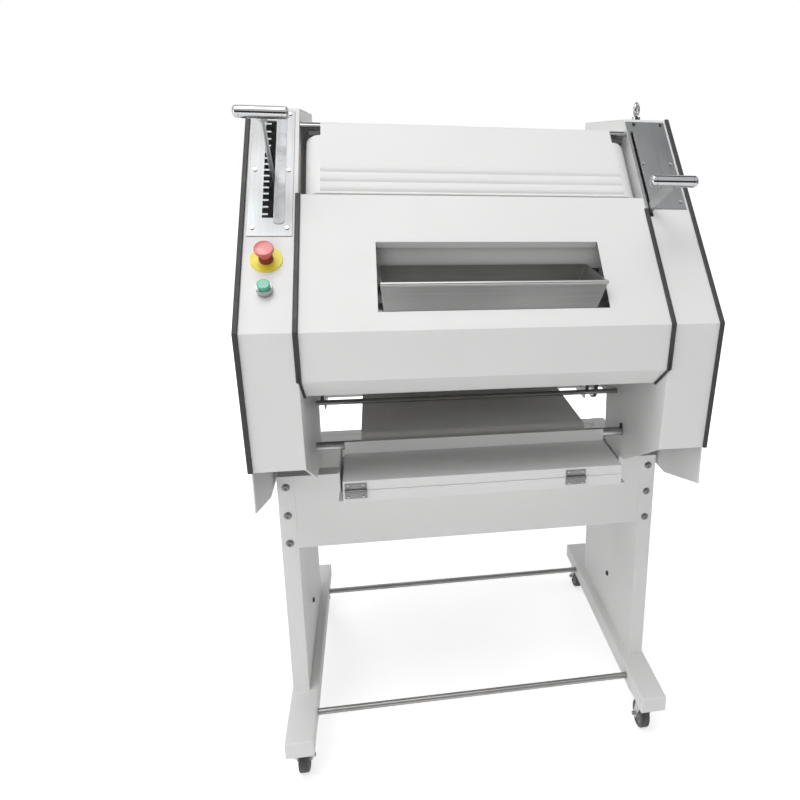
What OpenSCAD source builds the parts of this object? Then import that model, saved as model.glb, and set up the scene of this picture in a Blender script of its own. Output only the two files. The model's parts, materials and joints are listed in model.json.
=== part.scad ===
// Baguette moulder on a wheeled stand: two tall side housings, a sloping hood with a feed
// hopper between them, a lift-up top cover, two levers and a folding receiving tray.
// The front faces -Y, X runs to the right seen from the front, Z is up.

/* [Housing profile] */
// Width over the outer panels
body_w = 940; // [900:5:1000]
// Bend of the front, ahead of the middle of the feet
bend_front = 503; // [480:1:530]
// Height of the bend
bend_z = 1140; // [1100:1:1180]
// Rise of the sloping front
slope_angle = 45; // [42:1:48]
// Height of the housing tops
top_z = 1542; // [1500:1:1580]
// Height of the lower edge of the side covers
cover_low_z = 856; // [835:1:880]
// Lean of the lower front face
lower_lean = 31; // [15:1:45]
// Back of the housings, behind the middle of the feet
housing_rear = 250; // [245:1:280]
// Height of the lower edge of the housing backs
rear_edge_z = 770; // [762:1:772]
// Width of a side cover
cover_w = 101; // [98:1:106]
// Sheet of the side covers
cover_t = 2.5; // [2:0.5:4]
// Sheet of the outer panels
panel_t = 3; // [2:0.5:4]
// Thickness of the inner side plates
plate_t = 5; // [4:0.5:6]
// Rear edge of the lower bracket of a side plate, ahead of the middle of the feet
bracket_back = 75; // [70:1:85]
// Height of the lower edge of the bracket
bracket_low = 640; // [630:1:645]
// Height of the opening behind the bracket
plate_gap_z = 858; // [850:1:860]
// Back of that opening, behind the middle of the feet
plate_gap_back = 148; // [140:1:150]
// Radius of the boss between a bracket and its column
boss_r = 14; // [10:0.5:14]

/* [Panel lip] */
// Height of the lower edge of the outer panels
panel_low_z = 705; // [690:1:715]
// Front of the lip below the covers
lip_front = 463; // [450:1:466]
// Height of the upper end of the chamfer
lip_z = 765; // [750:1:790]
// Where the chamfer meets the level lower edge
lip_back = 261; // [240:1:300]

/* [Edge trims] */
// Width of a trim
trim_w = 10; // [8:0.5:12]
// Height of a trim above the sheet
trim_t = 5; // [3:0.5:7]
// Depth of the outer trims round the panel edge
trim_leg = 9; // [6:0.5:12]
// Upper end of the right inner trim, up the slope
right_trim_s = 297; // [280:1:310]

/* [Hood] */
// Upper edge of the hood, up the slope
hood_top_s = 329; // [315:1:340]
// Sheet of the hood and of the rear cover
hood_t = 2; // [1.5:0.5:3]
// Gap between the hinge of the top cover and the roof
roof_gap = 8; // [5:0.5:12]
// Height of the lower edge of the front face
hood_low_z = 1042; // [1025:1:1060]
// Reach of the return lip towards the back
return_reach = 68; // [50:1:80]
// Fall of the return lip
return_fall = 49; // [35:1:60]
// Width of the stiffening flange along the upper edge
hood_flange = 15; // [10:1:20]
// Lower edge of the feed opening, up the slope
feed_low_s = 43; // [42:0.5:43.5]
// Upper edge of the feed opening, up the slope
feed_top_s = 208; // [195:1:220]
// Width of the feed opening
feed_w = 456; // [446:1:480]
// Middle of the feed opening, to the right
feed_x = 12; // [0:1:18]
// Width of the lip along the upper edge of the feed opening
feed_lip = 20; // [15:1:22]
// Gap between the hopper and the apron behind it
apron_gap = 2; // [1:0.5:3]
// Lap of the apron below the rear wall of the hopper
apron_lap = 10; // [6:0.5:14]
// Radius of the rod under the hood
guard_r = 6; // [5:0.5:8]
// Rod under the hood, ahead of the middle of the feet
guard_front = 157; // [150:1:165]
// Height of the rod under the hood
guard_z = 890; // [880:1:905]

/* [Hopper] */
// Front wall of the hopper, ahead of the middle of the feet
hopper_front = 471; // [470:0.5:472]
// Height of the rim
hopper_rim_z = 1222; // [1210:1:1232]
// Width at the rim
hopper_rim_w = 444; // [430:1:446]
// Height of the foot of the front wall
hopper_base_z = 1170; // [1168:0.5:1172]
// Width at the foot of the front wall
hopper_base_w = 402; // [380:1:420]
// Further reach of the steeper left end at the foot of the front wall
hopper_left = 17; // [10:1:19]
// Sheet of the hopper
hopper_t = 2; // [1.5:0.5:3]
// Radius of the rolled rim
rim_r = 4; // [3:0.5:5]
// Width of the flange under the hood
hopper_flange = 20; // [12:1:26]

/* [Top cover] */
// Gap between the sides of the top cover and the housings
lid_side_gap = 12; // [12:1:24]
// Radius of the rounded sides
lid_round = 31; // [25:1:34]
// Depth of the side walls
lid_depth = 42; // [36:1:50]
// Sheet of the top cover
lid_t = 2; // [1.5:0.5:3]
// Gap to the hood
lid_gap = 4; // [3.5:0.5:6]
// Hinge axis, up the slope
lid_hinge_s = 527; // [515:1:535]
// Radius of the hinge barrel
lid_barrel_r = 8; // [7:0.5:10]
// Radius of the hinge pins
lid_pin_r = 4; // [3:0.5:5]
// Seat of a hinge pin inside the barrel
lid_pin_seat = 40; // [25:1:60]
// Height of the notched corners
lid_notch = 34; // [28:1:40]
// Number of grip beads along the lower edge
bead_count = 3; // [2:1:3]
// Spacing of the grip beads
bead_pitch = 26; // [22:1:28]
// First grip bead above the lower edge
bead_first = 14; // [12:1:18]
// Radius of a grip bead
bead_r = 10; // [8:0.5:11]
// Height of a grip bead above the cover
bead_rise = 6; // [4:0.5:7]

/* [Levers] */
// Pivot of both levers, up the slope
pivot_s = 372; // [366:1:378]
// Depth of the pivot below the slope
pivot_depth = 200; // [190:1:210]
// Pivot to handle
lever_r = 357; // [345:1:365]
// Left lever at rest, from level at the back
left_angle = 132.5; // [128:0.5:137]
// Right lever at rest, from level at the back
right_angle = 154.5; // [152:0.5:156]
// Left lever, in from the outer panel
left_lever_inset = 53.5; // [53:0.5:54.5]
// Right lever, in from the outer panel
right_lever_inset = 94; // [92:0.5:95]
// Radius of the left arm
arm_r = 4.25; // [3.5:0.25:4.5]
// Thickness of the right arm
arm_t = 4; // [3:0.5:5]
// Width of the right arm at the handle
arm_top_w = 26; // [22:1:30]
// Width of the right arm at the hub
arm_low_w = 20; // [16:1:24]
// Length of a handle
handle_len = 100; // [90:1:104]
// Radius of a handle
handle_r = 12; // [10:0.5:13]
// Radius of a lever hub
hub_r = 17; // [15:0.5:20]
// Width of the left hub
hub_w = 14; // [10:0.5:16]
// Radius of the pivot studs
stud_r = 8; // [6:0.5:9]

/* [Control plates] */
// Width of the left plate
control_w = 85; // [80:1:88]
// Lower edge of the left plate, up the slope
control_low_s = 221; // [215:1:228]
// Height of the left plate along the slope
control_h = 338; // [332:1:344]
// Outer edge of the plates, in from the outer panel
control_inset = 10; // [9:0.5:13]
// Thickness of the plates
control_t = 2; // [1.5:0.5:3]
// Number of teeth of the comb
tooth_count = 15; // [10:1:17]
// Thickness of a tooth
tooth_t = 4.5; // [3.5:0.5:5.5]
// Length of a tooth
tooth_len = 11; // [8:0.5:12]
// Play of the arm in its lane
lane_play = 0.75; // [0.5:0.05:1]
// Lowest tooth, up the slope
tooth_low_s = 275; // [270:1:280]
// Highest tooth, up the slope
tooth_top_s = 519; // [510:1:524]
// Width of the scale strip
scale_w = 20; // [16:0.5:22]
// Thickness of the scale strip
scale_t = 1; // [0.5:0.25:1.5]
// Length of the scale strip
scale_len = 290; // [280:1:300]
// Radius of a screw head
screw_r = 4; // [3:0.5:4.5]

/* [Buttons] */
// Buttons, in from the outer panel
button_inset = 49; // [46:0.5:52]
// Emergency stop, up the slope
stop_s = 165; // [160:1:175]
// Radius of the disc below the emergency stop
stop_disc_r = 30; // [26:0.5:32]
// Thickness of the disc
stop_disc_t = 2.5; // [1.5:0.5:3]
// Radius of the mushroom head
stop_r = 18; // [17:0.5:21]
// Top of the mushroom head above the slope
stop_h = 34; // [32:0.5:38]
// Radius of the mushroom stem
stop_stem_r = 10; // [8:0.5:11]
// Start button, up the slope
start_s = 93; // [88:1:100]
// Radius of the start button
start_r = 12; // [10:0.5:13]
// Top of the start button above the slope
start_h = 24; // [20:0.5:26]
// Radius of the bezels
bezel_r = 15; // [14.5:0.5:17]
// Height of the stop bezel
bezel_h = 9; // [7:0.5:11]
// Height of the start bezel
start_bezel_h = 16; // [14:0.5:17]
// Travel of both buttons
button_travel = 4; // [3:0.5:5]

/* [Eye bolt] */
// Radius of the ring to the middle of its bar
ring_r = 14; // [12:0.5:16]
// Radius of the ring's bar
ring_bar_r = 4; // [3:0.5:5]
// Radius of the collar
ring_collar_r = 10; // [8:0.5:12]
// Height of the collar
ring_collar_h = 7; // [5:0.5:9]
// Eye bolt, in from the outer panel
ring_inset = 64; // [58:1:70]
// Eye bolt behind the upper end of the slope
ring_back = 32; // [26:1:40]

/* [Stand] */
// Outer face of the feet, in from the outer panel
foot_inset = 5.5; // [0:0.5:14]
// Width of a foot
foot_w = 66; // [60:1:72]
// Height of a foot
foot_h = 43; // [38:1:48]
// Length of a foot
foot_len = 802; // [780:1:820]
// Height of the underside of the feet
foot_z = 105; // [103:0.5:110]
// Solid end of a foot
foot_end = 112; // [105:1:116]
// Wall of the feet, columns and beams
stand_wall = 4; // [3:0.5:5]
// Outer face of the columns, in from the outer panel
column_inset = 10; // [7:1:13]
// Width of a column
column_w = 39; // [36:1:42]
// Front of the columns, ahead of the middle of the feet
column_front = 219; // [210:1:225]
// Back of the columns, behind the middle of the feet
column_rear = 247; // [240:0.5:247]
// Height of the lower rear part of a column
column_step_z = 670; // [669.5:0.5:675]
// Height of the underside of the front beam
beam_low_z = 550; // [530:1:570]
// Height of the top of the front beam
beam_top_z = 735; // [725:1:740]
// Height of the underside of the rear beam
rear_low_z = 520; // [500:1:540]
// Height of the top of the rear beam
rear_top_z = 669; // [660:1:690]
// Depth of a beam
beam_d = 40; // [36:1:46]
// Radius of the cross rods
rod_r = 8; // [6:0.5:9]
// Cross rods, in from the ends of the feet
rod_inset = 128; // [125:1:139]
// Height of the cross rods
rod_z = 124; // [120:1:128]
// Radius across the corners of a bolt head
bolt_r = 7; // [5:0.5:8]
// Lowest bolt on a column
bolt_low_z = 564; // [556:1:572]
// Spacing of the bolts on a column
bolt_pitch = 72; // [66:1:76]
// Number of bolts on a column
bolt_count = 3; // [2:1:3]

/* [Casters] */
// Caster swivel axes, in from the ends of the feet
caster_inset = 54; // [51:0.5:56]
// Radius of a wheel
wheel_r = 38; // [34:0.5:39]
// Width of a wheel
wheel_w = 26; // [22:0.5:28]
// Trail of a wheel behind its swivel axis
trail = 28; // [24:0.5:30]
// Thickness of a caster plate
caster_plate_t = 5; // [4:0.5:6]
// Radius of a swivel head
swivel_r = 26; // [24:0.5:28]
// Thickness of a swivel head
swivel_t = 6.5; // [5:0.5:7]
// Thickness of a fork leg
leg_t = 4; // [3:0.5:4.5]
// Radius of an axle
axle_r = 5; // [4:0.5:6]
// Radius of a swivel pin
king_r = 6; // [5:0.5:7]
// Reach of a brake pedal behind the swivel axis
pedal_reach = 78; // [70:1:84]
// Thickness of a brake pedal
pedal_t = 4; // [3:0.5:4]

/* [Receiving tray] */
// Gap between the ends of the folding leaf and the side plates
leaf_gap = 65; // [62:1:76]
// Front of the tray, ahead of the middle of the feet
tray_front = 425; // [410:1:435]
// Height of the leaf
leaf_z = 805; // [800:1:810]
// Height of the fold line
fold_z = 783.5; // [780:0.5:786]
// Height of the underside of the tray
tray_low_z = 758; // [752:1:762]
// Back of the leaf, ahead of the middle of the feet
leaf_back = 274; // [268:1:280]
// Height of the rear upstand
upstand_z = 833; // [825:1:840]
// Sheet of the tray
tray_t = 3; // [2:0.5:4]
// Gap between the side cheeks and the side plates
cheek_gap = 55; // [50:1:58]
// Front end of the side cheeks
cheek_front = 375; // [360:1:390]
// Length of a hinge
hinge_len = 45; // [36:1:54]
// Height of a hinge leaf
hinge_h = 17; // [14:0.5:18]
// Thickness of a hinge leaf
hinge_t = 2; // [1.5:0.5:2.5]
// Radius of a hinge knuckle
knuckle_r = 4; // [3.5:0.25:4.5]
// Radius of a hinge pin
hinge_pin_r = 2; // [1.5:0.25:2.5]
// Middle of a hinge, in from the end of the leaf
hinge_inset = 66; // [66:1:81]
// Shift of both hinges to the left
hinge_shift = 40; // [0:1:40]

/* [Rollers and drive] */
// Radius of the sheeting rollers
sheet_r = 44; // [40:0.5:46]
// Gap between the sheeting rollers and the side plates
sheet_gap = 8; // [6:1:16]
// Rear sheeting roller, ahead of the middle of the feet
rear_roller_front = 262; // [260:0.5:264]
// Height of the rear sheeting roller
rear_roller_z = 1142; // [1140:0.5:1144]
// Fall of the front sheeting roller below the rear one
roller_fall = 24; // [22:0.5:26]
// Module of the roller gears
gear_module = 4; // [4:0.5:4]
// Number of teeth of a roller gear
gear_teeth = 24; // [24:1:24]
// Width of a gear
gear_w = 14; // [10:0.5:16]
// Radius of the sheeting roller shafts
shaft_r = 15; // [12:0.5:16]
// Radius of the belt rollers
belt_roller_r = 28; // [24:0.5:29]
// Gap between the felt belt and the side plates
belt_gap = 101; // [86:1:111]
// Thickness of the felt belt
belt_t = 3; // [2:0.5:4]
// Height of the belt roller axes
belt_z = 803; // [800:1:806]
// Front belt roller, ahead of the middle of the feet
belt_front = 213; // [205:1:216]
// Rear belt roller, behind the middle of the feet
belt_rear = 185; // [178:1:190]
// Radius of the belt roller shafts
belt_shaft_r = 10; // [8:0.5:11]
// Radius of a flange bearing
bearing_r = 30; // [26:0.5:32]
// Thickness of a flange bearing
bearing_t = 12; // [10:0.5:14]
// Radius of the drive pulleys
pulley_r = 36; // [32:0.5:38]
// Width of a drive pulley
pulley_w = 9; // [7:0.5:10]
// Thickness of a drive belt
drive_t = 5; // [4:0.5:6]
// Motor, behind the middle of the feet
motor_y = 110; // [100:1:120]
// Height of the motor shaft
motor_z = 1120; // [1110:1:1130]
// Radius of the motor
motor_r = 62; // [56:0.5:65]
// Length of the motor
motor_len = 230; // [200:1:240]
// Thickness of the motor flange
flange_t = 10; // [8:0.5:14]

/* [Pressing board] */
// Gap between the pressing board and the side plates
board_gap = 76; // [66:1:86]
// Front of the pressing board, ahead of the middle of the feet
board_front = 125; // [115:1:130]
// Back of the pressing board, behind the middle of the feet
board_rear = 150; // [140:1:160]
// Height of the underside of the pressing board
board_z = 896; // [892:1:900]
// Thickness of the pressing board
board_t = 12; // [10:0.5:14]
// Lift of the pressing board
board_travel = 25; // [20:1:28]
// Radius of the carrying pins
board_pin_r = 6; // [5:0.5:7]
// Front carrying pin, ahead of the middle of the feet
board_pin_front = 60; // [50:1:70]
// Rear carrying pin, behind the middle of the feet
board_pin_rear = 95; // [85:1:105]

/* [Clearances] */
// Radial play of a shaft in its bearing
run_play = 0.06; // [0.03:0.01:0.1]
// Radial play of a fixed pin or screw in its hole
fix_play = 0.05; // [0.02:0.01:0.1]
// Gap between pieces that pass each other
pass_gap = 0.4; // [0.3:0.05:0.6]
// Wider gap between a turning piece and a wall
wide_gap = 2; // [1:0.25:3]
// Gap between a bearing and the wheel beside it
side_gap = 4; // [3:0.5:4.5]
// Overrun of every cut
over = 1; // [0.5:0.1:2]

/* [Hidden] */
$fn = 48;

panel_out = body_w / 2;
panel_in = panel_out - panel_t;
cover_in = panel_in - cover_w;
plate_out = cover_in + plate_t;
bearing_out = plate_out + bearing_t;
lid_flat = cover_in - lid_side_gap - lid_round;
left_lever_x = panel_out - left_lever_inset;
right_lever_x = panel_out - right_lever_inset;
control_out = panel_out - control_inset;
control_x = control_out - control_w;
button_x = panel_out - button_inset;
ring_x = panel_out - ring_inset;
foot_in = panel_out - foot_inset - foot_w;
column_in = panel_out - column_inset - column_w;
rod_y = foot_len / 2 - rod_inset;
caster_y = foot_len / 2 - caster_inset;
leaf_half = cover_in - leaf_gap;
cheek_half = cover_in - cheek_gap;
hinge_x = leaf_half - hinge_inset;
sheet_len = 2 * (cover_in - sheet_gap);
belt_w = 2 * (cover_in - belt_gap);
board_half = cover_in - board_gap;

// Points of the side view are [distance behind the middle of the feet, height]
function slope_pt(s, h) =
  [-bend_front + s * cos(slope_angle) - h * sin(slope_angle),
   bend_z + s * sin(slope_angle) + h * cos(slope_angle)];
function unit(v) = v / norm(v);
function left_normal(a, b) = [-unit(b - a)[1], unit(b - a)[0]];
// Corner i of path p, moved t to the left of the path
function side_pt(p, i, t) =
  i == 0 ? p[0] + t * left_normal(p[0], p[1]) :
  i == len(p) - 1 ? p[i] + t * left_normal(p[i - 1], p[i]) :
  let (m = left_normal(p[i - 1], p[i]), n = left_normal(p[i], p[i + 1]))
  p[i] + t * (m + n) / (1 + m * n);
// Outline of a sheet of thickness t that follows path p
function band(p, t) = concat(p, [for (i = [len(p) - 1:-1:0]) side_pt(p, i, t)]);

slope_len = (top_z - bend_z) / sin(slope_angle);
bend_pt = [-bend_front, bend_z];
cover_end = [-bend_front + lower_lean, cover_low_z];
cover_path = [[housing_rear, rear_edge_z], [housing_rear, top_z], slope_pt(slope_len, 0), bend_pt,
  cover_end];
lean_share = (bend_z - hood_low_z) / (bend_z - cover_low_z);
hood_low_pt = bend_pt + lean_share * (cover_end - bend_pt);
hood_end_pt = hood_low_pt + [return_reach, -return_fall];
hood_path = [slope_pt(hood_top_s, -hood_flange), slope_pt(hood_top_s, 0), bend_pt, hood_low_pt, hood_end_pt];

pivot_pt = slope_pt(pivot_s, -pivot_depth);
lid_low_s = hood_top_s + lid_gap;
lid_hinge_pt = slope_pt(lid_hinge_s, -lid_barrel_r);
rear_roller_pt = [-rear_roller_front, rear_roller_z];
gear_span = gear_module * gear_teeth;
front_roller_pt = rear_roller_pt - [sqrt(gear_span * gear_span - roller_fall * roller_fall), roller_fall];
belt_front_pt = [-belt_front, belt_z];
belt_rear_pt = [belt_rear, belt_z];
motor_pt = [motor_y, motor_z];
board_pin_z = board_z + board_t / 2;
shaft_pts = [front_roller_pt, rear_roller_pt, belt_front_pt, belt_rear_pt];
shaft_rs = [shaft_r, shaft_r, belt_shaft_r, belt_shaft_r];
pulley_in = bearing_out + side_gap;
pulley_next = pulley_in + pulley_w + side_gap / 2;
gear_in = bearing_out + side_gap;
rear_wall_low = rear_roller_pt + [-sheet_r * 0.57, sheet_r * 1.09];
rear_wall_high = [rear_wall_low[0] - hopper_t * 2, hopper_rim_z + sheet_r * 0.2];
apron_low_pt = [rear_wall_low[0] + apron_gap, rear_wall_high[1] - apron_lap];
apron_s = (apron_low_pt[0] + bend_front - hood_t / 2 * sin(slope_angle)) / cos(slope_angle);

caster_x = foot_in + foot_w / 2;
caster_top = foot_z - caster_plate_t;
swivel_top = caster_top - pass_gap;
swivel_low = swivel_top - swivel_t;
king_head_t = pedal_t;
leg_in = wheel_w / 2 + wide_gap;
pedal_pt = [swivel_r / 2, swivel_low - king_head_t - pedal_t];

// Middle of the whole between the front trim and the brake pedals
trim_path = [slope_pt(slope_len, 0), bend_pt, cover_end];
front_reach = -side_pt(trim_path, 1, -trim_t)[0];
frame_shift = (front_reach - caster_y - pedal_reach) / 2;

function tooth_s(i) =
  let (a = atan((tooth_low_s - pivot_s) / pivot_depth), b = atan((tooth_top_s - pivot_s) / pivot_depth))
  pivot_s + pivot_depth * tan(a + (b - a) * i / (tooth_count - 1));

lane_in = left_lever_x - arm_r - lane_play;
lane_out = left_lever_x + arm_r + lane_play;
comb_out = lane_out + tooth_len;
comb_low = tooth_low_s - tooth_t * 2;
comb_top = tooth_top_s + tooth_t * 2;
screw_inset = screw_r * 2.5;
control_top_s = control_low_s + control_h;
control_face = control_t + fix_play;
right_low_s = right_trim_s + pass_gap;
function screw_rows(low_s) =
  [low_s + screw_inset * 2, (low_s + control_top_s) / 2, control_top_s - screw_inset];
screw_cols = [control_x + screw_inset, control_out - screw_inset];
slot_w = arm_t + 2 * wide_gap;
slot_low_s = right_trim_s - arm_low_w;

fold_pt = [-tray_front - hinge_t - hinge_pin_r - pass_gap, fold_z];
knuckle_share = 1 / 3;

white = "#ececea";
shade_white = "#e2e2df";
black = "#1b1b1c";
steel = "#a9acad";
chrome = "#c9ccce";

// Moves a piece from the frame of the feet to the frame of the whole
module placed() { translate([0, frame_shift, 0]) children(); }

// Left pieces are drawn on the right and mirrored
module on_side(side) { mirror([side < 0 ? 1 : 0, 0, 0]) children(); }

// Extrudes a side view from x0 to x1
module across(x0, x1) { translate([x0, 0, 0]) rotate([90, 0, 90]) linear_extrude(x1 - x0) children(); }

module bent_sheet(path, t, x0, x1) { across(x0, x1) polygon(band(path, t)); }

// Cylinder along X at a point of the side view
module bar(p, r, x0, x1) { translate([x0, p[0], p[1]]) rotate([0, 90, 0]) cylinder(r = r, h = x1 - x0); }

// Local frame on the slope: X right, Y up the slope, Z out of it
module on_slope(x, s, h) {
  p = slope_pt(s, h);
  translate([x, p[0], p[1]]) rotate([slope_angle, 0, 0]) children();
}

// Frame of a lever: Y points from its pivot to its handle
module on_lever(x, angle) { translate([x, pivot_pt[0], pivot_pt[1]]) rotate([angle, 0, 0]) children(); }

module stadium(p, q, r) {
  d = q - p;
  translate(p) circle(r);
  translate(q) circle(r);
  translate(p) rotate(atan2(d[1], d[0])) translate([0, -r]) square([norm(d), 2 * r]);
}

// Belt of thickness t round two wheels of radius r at p and q: two half rings and two straight runs
module loop(p, q, r, t, x0, x1) {
  d = q - p;
  run = norm(d);
  translate([x0, p[0], p[1]]) rotate([90, 0, 90]) rotate([0, 0, atan2(d[1], d[0])]) {
    for (end = [0, 1])
      translate([end * run, 0, 0]) rotate([0, 0, 90 - end * 180])
        rotate_extrude(angle = 180) translate([r, 0]) square([t, x1 - x0]);
    for (y = [-r - t, r]) translate([0, y, 0]) cube([run, t, x1 - x0]);
  }
}

module foot() {
  translate([foot_in, -foot_len / 2, foot_z]) difference() {
    cube([foot_w, foot_len, foot_h]);
    translate([stand_wall, foot_end, -over])
      cube([foot_w - 2 * stand_wall, foot_len - 2 * foot_end, foot_h - stand_wall + over]);
    for (y = [-rod_y, rod_y])
      translate([-over, y + foot_len / 2, rod_z - foot_z])
        rotate([0, 90, 0]) cylinder(r = rod_r + fix_play, h = stand_wall + 2 * over);
  }
}

module left_foot() { color(white) placed() on_side(-1) foot(); }
module right_foot() { color(white) placed() on_side(1) foot(); }

// Side view of a column with its step, inset by t
module column_outline(t, low) {
  polygon([[-column_front + t, low], [column_rear - t, low], [column_rear - t, column_step_z - t],
    [-bracket_back - t, column_step_z - t], [-bracket_back - t, beam_top_z - t],
    [-column_front + t, beam_top_z - t]]);
}

module column() {
  difference() {
    across(column_in, column_in + column_w) column_outline(0, foot_z + foot_h);
    across(column_in + stand_wall, column_in + column_w - stand_wall) column_outline(stand_wall, foot_z);
    for (i = [0:bolt_count - 1])
      translate([column_in + column_w / 2, -column_front - over, bolt_low_z + i * bolt_pitch])
        rotate([-90, 0, 0]) cylinder(r = bolt_r / 2 + fix_play, h = stand_wall + 2 * over);
  }
}

module left_column() { color(white) placed() on_side(-1) column(); }
module right_column() { color(white) placed() on_side(1) column(); }

// Channel between the columns, open towards the back
module beam(low, high) {
  difference() {
    translate([-column_in, 0, low]) cube([2 * column_in, beam_d, high - low]);
    translate([-column_in - over, stand_wall, low + stand_wall])
      cube([2 * column_in + 2 * over, beam_d, high - low - 2 * stand_wall]);
  }
}

module front_beam() { color(white) placed() translate([0, -column_front, 0]) beam(beam_low_z, beam_top_z); }
module rear_beam() {
  color(white) placed() translate([0, column_rear, 0]) mirror([0, 1, 0]) beam(rear_low_z, rear_top_z);
}

module cross_rods() {
  color(chrome) placed() for (y = [-rod_y, rod_y])
    bar([y, rod_z], rod_r, -foot_in - stand_wall, foot_in + stand_wall);
}

module column_bolts() {
  color(chrome) placed() for (side = [-1, 1], i = [0:bolt_count - 1])
    translate([side * (column_in + column_w / 2), -column_front, bolt_low_z + i * bolt_pitch])
      rotate([90, 0, 0]) {
        cylinder(r = bolt_r, h = bolt_r * 0.6, $fn = 6);
        translate([0, 0, -stand_wall * 2]) cylinder(r = bolt_r / 2, h = stand_wall * 2);
      }
}

module at_caster(side, end) { translate([side * caster_x, end * caster_y, 0]) children(); }

module caster_plates() {
  plate_w = foot_w - 2 * stand_wall;
  plate_len = swivel_r * 3;
  color(steel) placed() for (side = [-1, 1], end = [-1, 1]) at_caster(side, end) {
    translate([-plate_w / 2, -plate_len / 2, caster_top]) cube([plate_w, plate_len, caster_plate_t]);
    translate([0, 0, swivel_low - pass_gap]) cylinder(r = king_r, h = caster_top - swivel_low + pass_gap);
    translate([0, 0, swivel_low - pass_gap - king_head_t]) cylinder(r = king_r * 1.6, h = king_head_t);
  }
}

module fork(braked) {
  leg_half = swivel_r * 0.62;
  leg_top = swivel_low + swivel_t / 2;
  boss_r = axle_r * 2.2;
  translate([0, 0, swivel_low]) difference() {
    cylinder(r = swivel_r, h = swivel_t);
    translate([0, 0, -over]) cylinder(r = king_r + run_play, h = swivel_t + 2 * over);
  }
  for (x = [-leg_in - leg_t, leg_in]) {
    across(x, x + leg_t) polygon([[-leg_half, leg_top], [leg_half, leg_top], [trail + boss_r, wheel_r],
      [trail - boss_r, wheel_r]]);
    bar([trail, wheel_r], boss_r, x, x + leg_t);
  }
  bar([trail, wheel_r], axle_r, -leg_in - leg_t * 1.5, leg_in + leg_t * 1.5);
  if (braked) bar(pedal_pt, pedal_t / 2 + 0.5 * pass_gap, -leg_in - leg_t / 2, leg_in + leg_t / 2);
}

module left_front_fork() { color(steel) placed() at_caster(-1, -1) fork(false); }
module right_front_fork() { color(steel) placed() at_caster(1, -1) fork(false); }
module left_rear_fork() { color(steel) placed() at_caster(-1, 1) fork(true); }
module right_rear_fork() { color(steel) placed() at_caster(1, 1) fork(true); }

module wheel() {
  tread = wheel_w / 2;
  hub = wheel_w / 2 + wide_gap - pass_gap;
  tyre = wheel_r * 0.28;
  bevel = wheel_w * 0.12;
  translate([0, trail, wheel_r]) rotate([0, 90, 0]) rotate_extrude()
    polygon([[axle_r + run_play, -hub], [axle_r * 2, -hub], [axle_r * 2, -tread * 0.7],
      [wheel_r - tyre, -tread * 0.7], [wheel_r - tyre, -tread], [wheel_r - bevel, -tread],
      [wheel_r, -tread + bevel], [wheel_r, tread - bevel], [wheel_r - bevel, tread], [wheel_r - tyre, tread],
      [wheel_r - tyre, tread * 0.7], [axle_r * 2, tread * 0.7], [axle_r * 2, hub],
      [axle_r + run_play, hub]]);
}

module left_front_wheel() { color("#3a3b3d") placed() at_caster(-1, -1) wheel(); }
module right_front_wheel() { color("#3a3b3d") placed() at_caster(1, -1) wheel(); }
module left_rear_wheel() { color("#3a3b3d") placed() at_caster(-1, 1) wheel(); }
module right_rear_wheel() { color("#3a3b3d") placed() at_caster(1, 1) wheel(); }

// Pedal with its shoe above the wheel and a broad toe end
module brake_pedal() {
  inner = leg_in - pass_gap;
  toe = pedal_reach * 0.42;
  shoe_low = 2 * wheel_r + wide_gap + pass_gap;
  difference() {
    union() {
      translate([-inner, king_r * 1.4, pedal_pt[1] - pedal_t / 2])
        cube([2 * inner, pedal_reach - king_r * 1.4, pedal_t]);
      translate([-inner - leg_t, pedal_reach - toe, pedal_pt[1] - pedal_t / 2])
        cube([2 * inner + 2 * leg_t, toe, pedal_t]);
      translate([-inner * 0.8, trail - leg_t, shoe_low])
        cube([inner * 1.6, 2 * leg_t, pedal_pt[1] - shoe_low]);
      bar(pedal_pt, pedal_t, -inner, inner);
    }
    bar(pedal_pt, pedal_t / 2 + 0.5 * pass_gap + run_play, -inner - over, inner + over);
  }
}

module left_brake_pedal() { color("#b3272a") placed() at_caster(-1, 1) brake_pedal(); }
module right_brake_pedal() { color("#b3272a") placed() at_caster(1, 1) brake_pedal(); }

// Inner plate of a housing: carries the rollers, the pins and a lever stud
module side_plate(stud_end) {
  inner = [for (i = [0:len(cover_path) - 1]) side_pt(cover_path, i, cover_t)];
  step_y = -column_front + beam_d + pass_gap;
  boss_pt = [(step_y - bracket_back) / 2, (bracket_low + column_step_z) / 2];
  difference() {
    across(cover_in, plate_out) polygon([inner[0], inner[1], inner[2], inner[3], inner[4],
      [-column_front - beam_d / 2, beam_top_z], [step_y, beam_top_z], [step_y, bracket_low],
      [-bracket_back, bracket_low], [-bracket_back, plate_gap_z], [plate_gap_back, plate_gap_z],
      [plate_gap_back, rear_edge_z]]);
    for (i = [0:len(shaft_pts) - 1])
      bar(shaft_pts[i], shaft_rs[i] + wide_gap, cover_in - over, plate_out + over);
    bar([-guard_front, guard_z], guard_r + fix_play, cover_in - over, plate_out + over);
    bar(lid_hinge_pt, lid_pin_r + fix_play, cover_in - over, plate_out + over);
    bar(motor_pt, belt_shaft_r + wide_gap, cover_in - over, plate_out + over);
    for (y = [-board_pin_front, board_pin_rear])
      across(cover_in - over, plate_out + over)
        stadium([y, board_pin_z - board_travel], [y, board_pin_z], board_pin_r + pass_gap);
  }
  bar(pivot_pt, stud_r, plate_out, stud_end);
  bar(boss_pt, boss_r, plate_out, column_in);
}

module left_side_plate() { color(shade_white) placed() on_side(-1) side_plate(left_lever_x + hub_w); }
module right_side_plate() { color(shade_white) placed() on_side(1) side_plate(right_lever_x + arm_t * 2); }

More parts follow.
